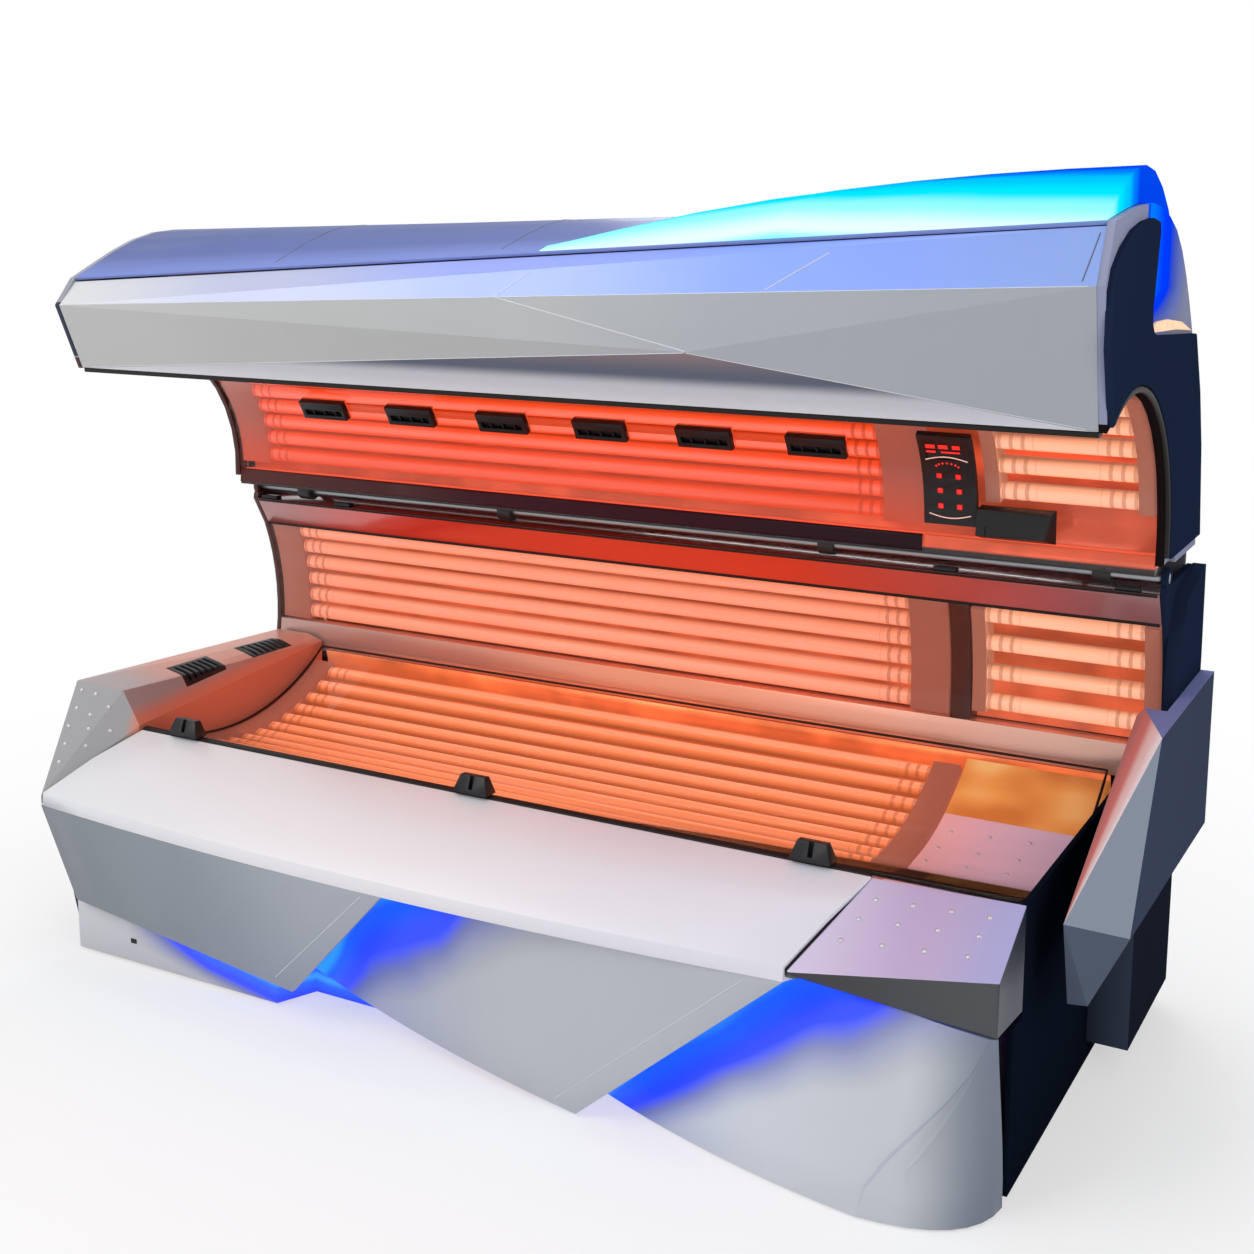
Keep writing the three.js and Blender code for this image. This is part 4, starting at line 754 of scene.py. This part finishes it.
def make_shoulder():
    """Lavender top and dark front of the head-end shoulder: painted light on the up-facing top, painted shade
    on the front and undersides.
    """
    top = sweep(X, 0.68, 1.06, (0.0, (0.62, 0.54, 0.72)), (0.6, (0.49, 0.38, 0.58)),
                (1.0, (0.38, 0.37, 0.64)))
    front = sweep(X, 0.68, 1.06, (0.0, (0.05, 0.05, 0.055)), (0.97, (0.075, 0.08, 0.085)),
                  (1.0, (0.020, 0.025, 0.05)))
    return painted("Shoulder Paint", facets(top, front, (0.05, 0.05, 0.06), -0.9, 0.30),
                   0.36, 0.05, 0.1, 0.02, 0.3, Metallic=0.2)


def make_materials():
    """Makes the node groups and every finish; one that only a single CAD node wears has its name."""
    tone = colours()
    for make in (make_paint_grain, make_edge_light, make_facet_tone, make_tube_crest):
        make()
    MADE.update(    # one colour
        navy=painted("Navy Gloss", tone.navy, 0.40, 0.10, 0.08, gloss=0.0),
        # a darker copy of the navy gloss: painted shade on the base's right side
        side_right=painted("Side Gloss", (0.005, 0.008, 0.017), 0.40, 0.10, 0.08, gloss=0.0),
        black=painted("Black Trim", tone.black, 0.40, 0.12, 0.14, 0.05, 0.35),
        rubber=painted("Rubber Gasket", (0.008, 0.006, 0.006), 0.55, 0.15, 0.1, 0.1, 0.25),
        base_frame=painted("Frame Coating", (0.030, 0.033, 0.042), 0.55, 0.15, 0.15, 0.2),
        steel=painted("Ground Steel", (0.30, 0.31, 0.33), 0.32, 0.12, 0.2, 0.05, Metallic=1.0),
        # bright beads that stand for painted highlights on creases, edges and dots
        chrome=painted("Bright Line", (0.64, 0.65, 0.69), 0.30, 0.05, 0.1, Metallic=0.2),
        stud=painted("Grip Studs", (0.56, 0.53, 0.60), 0.30, 0.05, 0.1, Metallic=0.3),
        shadow_line=painted("Panel Joint", (0.10, 0.11, 0.13), 0.5, 0.1, 0.1),
        dark=painted("Dark Housing", (0.070, 0.024, 0.019), 0.32, 0.08, 0.1, gloss=0.35),
        key=painted("Key Caps", tone.key, 0.30, 0.05, 0.1, Emission_Color=tone.key, Emission_Strength=0.9),
    )
    MADE.update(    # colours that run or change over the piece
        canopy_front=make_front(), end_cap_left=make_end_cap(), shoulder_right=make_shoulder(),
        head_panel=make_head_panel(), canopy_end_left=make_foot_end(), canopy_end_right=make_head_end(),
        plinth=make_plinth(), rear_cover=make_cover(), air_nozzles=make_nozzle(), clear=make_clear(),
        side_fin=painted("Side Fin Paint", fin_tone, 0.32, 0.05, 0.1, 0.02, 0.0),
        side_post=painted("Post Paint", post_tone, 0.40, 0.10, 0.10, gloss=0.0),
        # darker towards the left end: painted shade
        skirt_left=painted("Left Skirt Paint", sweep(
            X, -1.19, -0.20, (0.0, (0.20, 0.225, 0.255)), (0.35, (0.25, 0.28, 0.32)),
            (1.0, (0.39, 0.42, 0.47))), 0.40, 0.06, 0.10, 0.02, Metallic=0.3),
        # bluish at the left end: painted blue light by the light bar's recess
        skirt_middle=make_skirt("Middle Skirt Paint", sweep(
            X, -0.5, 0.68, (0.0, (0.40, 0.44, 0.60)), (0.5, (0.51, 0.53, 0.56)),
            (1.0, (0.48, 0.50, 0.54))), Foot_X=-0.488, Foot_Z=0.09, Slope=1.0, Reach=0.50),
        # bluish at the left end as painted blue light, dark at the right end as painted shade
        skirt_right=make_skirt("Right Skirt Paint", sweep(
            X, 0.24, 1.06, (0.0, (0.42, 0.48, 0.68)), (0.45, (0.62, 0.65, 0.70)), (0.8, (0.56, 0.58, 0.62)),
            (1.0, (0.17, 0.20, 0.26))), Foot_X=0.240, Foot_Z=0.004, Slope=1.14, Reach=0.52),
        apron=painted("White Skin", sweep(
            X, -1.19, 0.78, (0.0, (0.77, 0.78, 0.80)), (0.45, (0.81, 0.79, 0.81)),
            (1.0, (0.76, 0.75, 0.82))), 0.34, 0.03, 0.08, 0.01, Coat_Weight=0.15, Coat_Roughness=0.2),
        # painted light along the roof's front edge, darkening to navy behind
        canopy_top=painted("Roof Gloss", sweep(
            Y, -0.312, 0.55, (0.0, (0.21, 0.27, 0.60)), (0.12, (0.095, 0.13, 0.35)),
            (0.30, (0.070, 0.10, 0.27)), (0.6, (0.045, 0.06, 0.13)), (1.0, (0.030, 0.040, 0.075))),
            0.36, 0.04, 0.06, 0.0, 0.03, Metallic=0.05),
        band=painted("Lower Band", sweep(
            X, -1.2, 0.7, (0.0, (0.10, 0.020, 0.018)), (0.5, (0.05, 0.012, 0.02)),
            (1.0, (0.03, 0.012, 0.02))), 0.18, 0.08, 0.06, gloss=0.08),
        wall_nose_cover=painted("Nose Cover", sweep(
            X, -1.19, 1.14, (0.0, (0.34, 0.070, 0.060)), (0.16, (0.72, 0.050, 0.028)),
            (0.62, (0.82, 0.055, 0.020)), (0.85, (0.58, 0.10, 0.085)), (1.0, (0.30, 0.13, 0.13))),
            0.20, Coat_Weight=0.4, Coat_Roughness=0.08),
        wall_foot_rail=painted("Foot Rail", sweep(
            X, -1.19, 1.14, (0.0, (0.54, 0.34, 0.30)), (0.5, (0.90, 0.37, 0.22)),
            (1.0, (0.80, 0.50, 0.40))), 0.24, Metallic=0.4),
    )
    MADE.update(    # lit
        wall_housing=make_reflector("Reflector", (0.74, 0.15, 0.060), 0.72),
        bench_tray=make_reflector("Bench Reflector", (0.95, 0.22, 0.070), 0.88),
        canopy_tray=make_reflector("Canopy Reflector", (0.78, 0.11, 0.040), 0.75, 1.046),
        red_light=glow_paint("Red Signs", (0.95, 0.030, 0.020), (0.55, 0.01, 0.01)),
        pale_light=glow_paint("Pale Arcs", (0.80, 0.52, 0.44), (0.55, 0.30, 0.26)),
        tan=glow_paint("Lit Shelf", (0.72, 0.43, 0.22), (0.40, 0.24, 0.14)),
        canopy_lamps=lamp_glass(
            "Canopy Tubes", tone.canopy_glow, "canopy_lamps", TUNNEL, 0.088, 1.12, (1.02, 1.22)),
        canopy_face_lamps=lamp_glass(
            "Canopy Face Tubes", tone.face_glow, "canopy_face_lamps", TUNNEL, 0.030, 1.15),
        wall_lamps=lamp_glass("Wall Tubes", tone.wall_glow, "wall_lamps", WALL_CENTRE, 0.088),
        wall_face_lamps=lamp_glass(
            "Wall Face Tubes", tone.face_glow, "wall_face_lamps", WALL_CENTRE, 0.030, 1.15),
        bench_lamps=lamp_glass("Bench Tubes", tone.bench_glow, "bench_lamps", BENCH_CENTRE, 0.060, 1.08),
        canopy_light_fin=make_light_fin(), light_bar=make_light_bar(),
    )


SHARED = {  # finishes that several CAD nodes wear
    "black": "control_panel face_outlet bench_catch_1 bench_catch_2 bench_catch_3 air_outlet_1 "
             "air_outlet_2 fan_housing fan_impeller",
    "clear": "canopy_sheet wall_sheet bench_sheet", "rubber": "canopy_lip bench_seal_rail",
    "dark": "wall_divider wall_end_left", "navy": "wall_end_right side_left",
    "steel": "hinge_shaft strut_rod_left strut_rod_right lamp_control_gear",
    "light_bar": "light_bar_left light_bar_right", "key": "key_1 key_2 key_3 key_4 key_5 key_6",
}
FACETED = ("canopy_front", "side_fin", "shoulder_right", "end_cap_left")
FINE_EDGE = 0.0006      # edge radius of the lamps and the sheets
WELD = 0.00002          # vertices nearer than this are one
FACET_ANGLE, SOFT_ANGLE, LAMP_ANGLE = 6.0, 28.0, 60.0   # least angle of an edge that is rounded


def soften(node):
    """Rounds a CAD node's edges and smooths its curved faces, apart from the faceted ones."""
    piece = NODES[node]
    smooth = node not in FACETED
    lamps = node.endswith("lamps")
    angle = LAMP_ANGLE if lamps else SOFT_ANGLE if smooth else FACET_ANGLE
    piece.data.polygons.foreach_set("use_smooth", [smooth] * len(piece.data.polygons))
    piece.modifiers.new("Weld", "WELD").merge_threshold = WELD
    edge = piece.modifiers.new("Edges", "BEVEL")
    edge.width = FINE_EDGE if lamps or node.endswith("sheet") else sizes().edge
    edge.segments = 2
    edge.limit_method = "ANGLE"
    edge.angle_limit = math.radians(angle)
    edge.harden_normals = smooth
    edge.use_clamp_overlap = True


class BED_OT_finishes(bpy.types.Operator):
    """Gives every CAD piece its finish and softened edges"""

    bl_idname = "bed.finishes"
    bl_label = "Finishes"

    def execute(self, context):
        make_materials()
        shared = {node: paint for paint, nodes in SHARED.items() for node in nodes.split()}
        for node, piece in NODES.items():
            piece.data.materials.clear()
            piece.data.materials.append(MADE[shared.get(node, node)])
            soften(node)
        return {"FINISHED"}


# Trim

FLANK_TOP = ((-0.300, 1.388), (-0.351, 1.520), (-0.353, 1.615), (-0.335, 1.650), (-0.285, 1.682),
             (-0.215, 1.709), (-0.140, 1.723), (-0.070, 1.728), (-0.026, 1.722))
FLANK_NOTCH = ((-0.018, 1.706), (-0.032, 1.640), (-0.047, 1.572), (-0.044, 1.545), (-0.026, 1.528),
               (0.004, 1.520))
FLANK_REAR = ((0.368, 1.500), (0.440, 1.380), (0.488, 1.262), (0.532, 1.066), (0.250, 1.066))
SHELF = ((-0.030, 1.5260), (0.060, 1.5225), (0.200, 1.5180), (0.352, 1.5065), (0.250, 1.5300),
         (0.120, 1.5420), (0.030, 1.5430), (-0.020, 1.5360))
ARCH_ENDS = (-3.0, 118.0)   # degrees


class BED_OT_head_flank(bpy.types.Operator):
    """Adds the raised navy flank of the head end with its lit notch"""

    bl_idname = "bed.head_flank"
    bl_label = "Head Flank"

    def execute(self, context):
        outline = [*FLANK_TOP, *FLANK_NOTCH, *FLANK_REAR, *arch(TUNNEL_RADIUS + 0.014, *ARCH_ENDS, 30)]
        place_piece("head_flank", slab(outline, 0.013, 0.004), "navy", "canopy", False)
        place_piece("head_shelf", slab(SHELF, 0.006, 0.002), "tan", "canopy", False)
        rims = [[(x, y, z) for y, z in arch(TUNNEL_RADIUS + grow, *ARCH_ENDS, 40)]
                for x, grow in ((HEAD_X + 0.003, 0.007), (FOOT_X + 0.0075, 0.006))]
        bead("arch_rims", rims, 0.0068, "rubber", "canopy")
        return {"FINISHED"}


FRONT_SEAMS = (((0.050, 1.6215), (-0.0139, 1.5752)), ((-0.0139, 1.5752), (0.4040, 1.4880)),
               ((0.6650, 1.6680), (0.5573, 1.6022)))
FRONT_EDGES = (((-1.18, 1.5275), (1.125, 1.6215), 15), ((-1.16, 1.3835), (0.402, 1.4850), 11),
               ((0.406, 1.4850), (1.118, 1.3835), 11))
ROOF_SEAMS = ((-0.62, 4, 107), (-0.05, 4, 105), (0.56, 4, 52))  # x, and the ends in degrees
ROOF_CLEAR = 1.3    # a distance from the tunnel's axis that is outside the roof


class BED_OT_seams(bpy.types.Operator):
    """Lays painted highlight lines on the canopy front and the skirts, and the dark panel joint lines of the
    brow and the roof
    """

    bl_idname = "bed.seams"
    bl_label = "Seams"

    def execute(self, context):
        width = sizes().seam
        lines = [on_front("canopy_front", *line) for line in FRONT_SEAMS]
        # bright beads: painted highlights along the creases of the canopy front
        bead("canopy_seams", lines, width, "chrome", "canopy")
        brow = on_front("canopy_front", (1.1300, 1.7060), (1.1139, 1.6290))
        bead("brow_seam", [brow], width, "shadow_line", "canopy")
        lines = [on_front("canopy_front", *line) for line in FRONT_EDGES]
        # bright beads: painted highlights along the canopy front's edges
        bead("canopy_edges", lines, width * 0.7, "chrome", "canopy")
        lines = [on_front("skirt_left", (-0.232, 0.374), (-0.530, 0.100)),
                 on_front("skirt_middle", (0.600, 0.374), (0.190, 0.022))]
        # bright beads: painted highlight lines on the skirts
        bead("skirt_seams", lines, width, "chrome", "base")
        roof = surface("canopy_top")
        lines = [[land(roof, (x, y, z), (0, TUNNEL.y - y, TUNNEL.z - z))[0]
                  for y, z in arch(ROOF_CLEAR, low, high, 41)] for x, low, high in ROOF_SEAMS]
        bead("roof_seams", lines, width * 0.9, "shadow_line", "canopy")
        return {"FINISHED"}


RIM_INSET = 0.008       # of the bench sheet's bead from its edge
NOSE_INSET = 0.004      # of the nose cover's beads from its ends and front


class BED_OT_gaskets(bpy.types.Operator):
    """Runs the rubber beads round the bench sheet and along the parting line, and lays the lower band in the
    canopy
    """

    bl_idname = "bed.gaskets"
    bl_label = "Gaskets"

    def execute(self, context):
        radius = sizes().gasket
        tree = surface("bench_sheet")
        low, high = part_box("bench_sheet")
        left, right = low.x + RIM_INSET, high.x - RIM_INSET
        front, rear = low.y + RIM_INSET, high.y - RIM_INSET
        corners = [(left, front, 1.0), (right, front, 1.0), (right, rear, 1.0), (left, rear, 1.0),
                   (left, front, 1.0)]
        rim = [land(tree, point, (0, 0, -1))[0]
               for a, b in zip(corners, corners[1:]) for point in between(a, b, 24)]
        bead("bench_rim", [rim], radius * 0.7, "rubber", "bench_sheet")
        low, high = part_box("wall_nose_cover")
        lines = [[(x, y, z) for x in (low.x + NOSE_INSET, high.x - NOSE_INSET)]
                 for y, z in ((low.y + NOSE_INSET, high.z - 0.003), (0.3150, low.z + 0.002))]
        bead("nose_edges", lines, radius, "rubber", "base")
        band = strip_along(-1.190, 1.855, arch(TUNNEL_RADIUS - 0.0012, -8.6, -2.6, 6), 0.0010)
        place_piece("canopy_lower_band", band, "band", "canopy")
        return {"FINISHED"}


LINER = ((0.3560, 0.5265), (0.3530, 0.5500), (0.3470, 0.5720))
BACKING = ((-0.4980, 0.3930), (-0.4150, 0.4610), (-0.3320, 0.5270))
LINER_THICK = 0.0015


class BED_OT_liners(bpy.types.Operator):
    """Closes the margin behind the bench tray and backs the joint between apron and shoulder"""

    bl_idname = "bed.liners"
    bl_label = "Liners"

    def execute(self, context):
        sheet = strip_along(-1.035, 2.080, LINER, LINER_THICK)
        place_piece("bench_liner", sheet, "bench_tray", "base")
        backing = strip_along(0.650, 0.050, BACKING, LINER_THICK, 0.0960)
        place_piece("shoulder_backing", backing, "shadow_line", "base")
        return {"FINISHED"}


FOOT_DOTS = (
    (-1.1754, -0.3769, 0.6283), (-1.1437, -0.3643, 0.6198), (-1.1087, -0.3603, 0.5918),
    (-1.1419, -0.3866, 0.5754), (-1.1744, -0.3965, 0.5898), (-1.0944, -0.3729, 0.5400),
    (-1.1793, -0.4192, 0.5515), (-1.1362, -0.3991, 0.5457), (-1.1751, -0.4369, 0.5134),
    (-1.1323, -0.4141, 0.5088), (-1.1758, -0.4571, 0.4755),
)
SHOULDER_ROWS = (((0.797, -0.366, 0.513), (1.006, -0.361, 0.522)),
                 ((0.778, -0.401, 0.486), (0.997, -0.393, 0.498)),
                 ((0.759, -0.4385, 0.456), (0.989, -0.427, 0.472)))
HEAD_ROWS = (((0.760, -0.070, 0.8), (1.005, -0.055, 0.8)), ((0.765, -0.005, 0.8), (1.010, 0.010, 0.8)),
             ((0.770, 0.060, 0.8), (1.015, 0.075, 0.8)), ((0.775, 0.125, 0.8), (1.018, 0.140, 0.8)))


class BED_OT_grip_dots(bpy.types.Operator):
    """Adds the raised dots of the foot-end facet, the shoulder and the head panel"""

    bl_idname = "bed.grip_dots"
    bl_label = "Grip Dots"

    def execute(self, context):
        def nearest(tree, point):
            return tree.find_nearest(Vector(point))[:2]

        def below(tree, point):
            return land(tree, point, (0, 0, -1))

        shoulder, head = ([point for ends in rows for point in between(*ends, 4)]
                          for rows in (SHOULDER_ROWS, HEAD_ROWS))
        for name, node, points, find, paint in (
            ("foot_dots", "end_cap_left", FOOT_DOTS, nearest, "stud"),
            ("shoulder_dots", "shoulder_right", shoulder, nearest, "stud"),
            # the head panel's dots carry painted highlights
            ("head_dots", "head_panel", head, below, "chrome"),
        ):
            shape = bmesh.new()
            tree = surface(node)
            for point in points:
                dome(shape, *find(tree, point), sizes().dot)
            place_piece(name, shape, paint, "base")
        return {"FINISHED"}


PANEL_FACE = 0.3222     # distance of the control panel's face from the tunnel's axis
SIGN_LIFT = 0.0012      # how far the marks stand out of it
SIGNS = ((0.697, 33.6, 0.020, 0.010), (0.724, 33.6, 0.020, 0.010), (0.751, 33.6, 0.016, 0.010),
         (0.697, 31.2, 0.020, 0.005), (0.738, 31.2, 0.040, 0.004))  # x, degrees, width, height
ARC_STEPS = 12


def on_panel(x, degrees, lift=SIGN_LIFT):
    """Point on the control panel's curved face and the way it faces."""
    turn = math.radians(degrees)
    out = Vector((0.0, -math.cos(turn), -math.sin(turn)))
    return Vector((x, TUNNEL.y, TUNNEL.z)) - out * (PANEL_FACE - lift), out


class BED_OT_control_marks(bpy.types.Operator):
    """Adds the lit display, the arcs and the pilot lights of the control panel"""

    bl_idname = "bed.control_marks"
    bl_label = "Control Marks"

    def execute(self, context):
        shape = bmesh.new()
        for x, degrees, wide, tall in SIGNS:
            point, out = on_panel(x, degrees, -SIGN_LIFT)
            soft_block(shape, Matrix.Translation(point) @ facing(out), (wide, tall, SIGN_LIFT), 0.0004, 1)
        for i in range(7):
            turn = math.pi * (0.15 + 0.117 * i)
            dome(shape, *on_panel(0.728 + 0.026 * math.cos(turn), 24.2 + 2.4 * math.sin(turn)), 0.0024)
        place_piece("panel_signs", shape, "red_light", "canopy", False)
        shares = [i / ARC_STEPS for i in range(ARC_STEPS + 1)]
        arcs = [[on_panel(0.684 + 0.088 * s, base + bulge * math.sin(math.pi * s))[0] for s in shares]
                for base, bulge in ((27.8, 1.6), (6.0, -1.4))]
        bead("panel_arcs", arcs, 0.0011, "pale_light", "canopy")
        return {"FINISHED"}


class BED_OT_fixings(bpy.types.Operator):
    """Adds the parting-line brackets, the plinth plug and the screens behind the rear vents"""

    bl_idname = "bed.fixings"
    bl_label = "Fixings"

    def execute(self, context):
        shape = bmesh.new()
        for x in (-1.157, -0.917, 0.692, 1.074):
            soft_block(shape, Matrix.Translation((x, 0.2900, 0.9895)), (0.052, 0.022, 0.010), 0.003, 2)
        place_piece("parting_brackets", shape, "black", "base", False)
        shape = bmesh.new()
        soft_block(shape, Matrix.Translation((-1.0013, -0.4240, 0.0584)), (0.017, 0.004, 0.011), 0.001, 2)
        front = min(shape.faces, key=lambda face: face.calc_center_median().y)
        bmesh.ops.inset_individual(shape, faces=[front], thickness=0.0025, depth=-0.001)
        place_piece("plinth_plug", shape, "black", "base", False)
        shape = bmesh.new()
        upright = Matrix.Rotation(-math.pi / 2, 4, "X") @ Matrix.Diagonal((0.24, 0.12, 1.0, 1.0))
        for x in (-0.66, 0.66):
            bmesh.ops.create_grid(shape, x_segments=30, y_segments=14, size=1.0,
                                  matrix=Matrix.Translation((x, 0.5165, 0.215)) @ upright)
        bmesh.ops.inset_individual(shape, faces=shape.faces[:], thickness=0.0035, depth=-0.004)
        place_piece("vent_screens", shape, "base_frame", "base", False)
        return {"FINISHED"}


# Stage

FLOOR_HALF = 14.0
FLOOR_DROP = 0.0005
LIGHTS = (  # name, place, aim, size, power
    ("key_light", (-2.6, -3.6, 4.2), (0.0, 0.0, 0.8), 3.2, 110.0),
    ("fill_light", (4.2, -2.4, 2.6), (0.6, 0.0, 0.7), 2.6, 45.0),
    ("top_light", (0.2, 0.6, 4.6), (0.0, 0.0, 0.8), 3.0, 60.0),
    ("back_light", (-1.0, 4.2, 3.0), (0.0, 0.0, 0.9), 2.6, 70.0),
)


def make_floor(tone):
    """Floor that keeps the shadow near the bed and fades to white round it."""
    material = bpy.data.materials.new("Studio Floor")
    material.use_nodes = True
    tree = material.node_tree
    tree.nodes.clear()
    reach = add_wire(tree, "VectorMath", {0: spot(tree)}, "Value", operation="LENGTH")
    fade = map_range(reach, 1.3, 3.0, 0.55)
    mix_shaders(fade * seen_plainly(tree), add_node(tree, "BsdfDiffuse", {"Color": tone}),
                add_node(tree, "Emission", {"Strength": 1.0}),
                tree.nodes.new("ShaderNodeOutputMaterial").inputs[0])
    return material


def make_world(scene):
    """White backdrop with a softer light of its own."""
    world = bpy.data.worlds.new("Studio")
    world.use_nodes = True
    tree = world.node_tree
    tree.nodes.clear()
    mix_shaders(seen_plainly(tree),
                add_node(tree, "Background", {"Color": (0.95, 0.97, 1.0), "Strength": 0.50}),
                add_node(tree, "Background", {"Color": (1.0, 1.0, 1.0), "Strength": 1.0}),
                tree.nodes.new("ShaderNodeOutputWorld").inputs[0])
    scene.world = world


class BED_OT_stage(bpy.types.Operator):
    """Builds the floor, the light and the camera"""

    bl_idname = "bed.stage"
    bl_label = "Stage"

    def execute(self, context):
        settings = context.scene.bed_stage
        link = context.scene.collection.objects.link
        shape = bmesh.new()
        bmesh.ops.create_grid(shape, x_segments=1, y_segments=1, size=FLOOR_HALF)
        mesh = bpy.data.meshes.new("studio_floor")
        shape.to_mesh(mesh)
        shape.free()
        mesh.materials.append(make_floor(settings.floor))
        floor = bpy.data.objects.new("studio_floor", mesh)
        floor.location.z = -FLOOR_DROP
        link(floor)
        make_world(context.scene)
        for name, place, aim, size, power in LIGHTS:
            lamp = bpy.data.lights.new(name, "AREA")
            lamp.size = size
            lamp.energy = power
            holder = bpy.data.objects.new(name, lamp)
            holder.location = place
            holder.rotation_euler = (Vector(aim) - Vector(place)).to_track_quat("-Z", "Y").to_euler()
            link(holder)
        camera = bpy.data.cameras.new("studio_camera")
        camera.lens = settings.lens
        camera.sensor_width = 36.0
        camera.shift_y = settings.shift
        camera.clip_end = 60.0
        stand = bpy.data.objects.new("studio_camera", camera)
        stand.location = settings.place
        stand.rotation_euler = (math.pi / 2 - settings.dip, 0.0, settings.turn)
        link(stand)
        context.scene.camera = stand
        context.scene.view_settings.view_transform = "Standard"
        return {"FINISHED"}


STEPS = (BED_OT_stage, BED_OT_finishes, BED_OT_head_flank, BED_OT_seams, BED_OT_gaskets, BED_OT_liners,
         BED_OT_grip_dots, BED_OT_control_marks, BED_OT_fixings)


class BED_PT_panel(bpy.types.Panel):
    """Lists the steps that dress the bed"""

    bl_label = "Tanning Bed"
    bl_space_type = "VIEW_3D"
    bl_region_type = "UI"
    bl_category = "Tanning Bed"

    def draw(self, context):
        for step in STEPS:
            self.layout.operator(step.bl_idname)
        for name in ("bed_colours", "bed_sizes", "bed_stage"):
            settings = getattr(context.scene, name)
            for label in settings.__annotations__:
                self.layout.prop(settings, label)


CLASSES = (BED_PG_colours, BED_PG_sizes, BED_PG_stage, *STEPS, BED_PT_panel)


def register():
    for entry in CLASSES:
        bpy.utils.register_class(entry)
    bpy.types.Scene.bed_colours = bpy.props.PointerProperty(type=BED_PG_colours)
    bpy.types.Scene.bed_sizes = bpy.props.PointerProperty(type=BED_PG_sizes)
    bpy.types.Scene.bed_stage = bpy.props.PointerProperty(type=BED_PG_stage)


def unregister():
    del bpy.types.Scene.bed_colours, bpy.types.Scene.bed_sizes, bpy.types.Scene.bed_stage
    for entry in reversed(CLASSES):
        bpy.utils.unregister_class(entry)


def main():
    register()
    for step in STEPS:
        getattr(bpy.ops.bed, step.bl_idname.split(".")[1])()


if __name__ == "__main__":
    main()
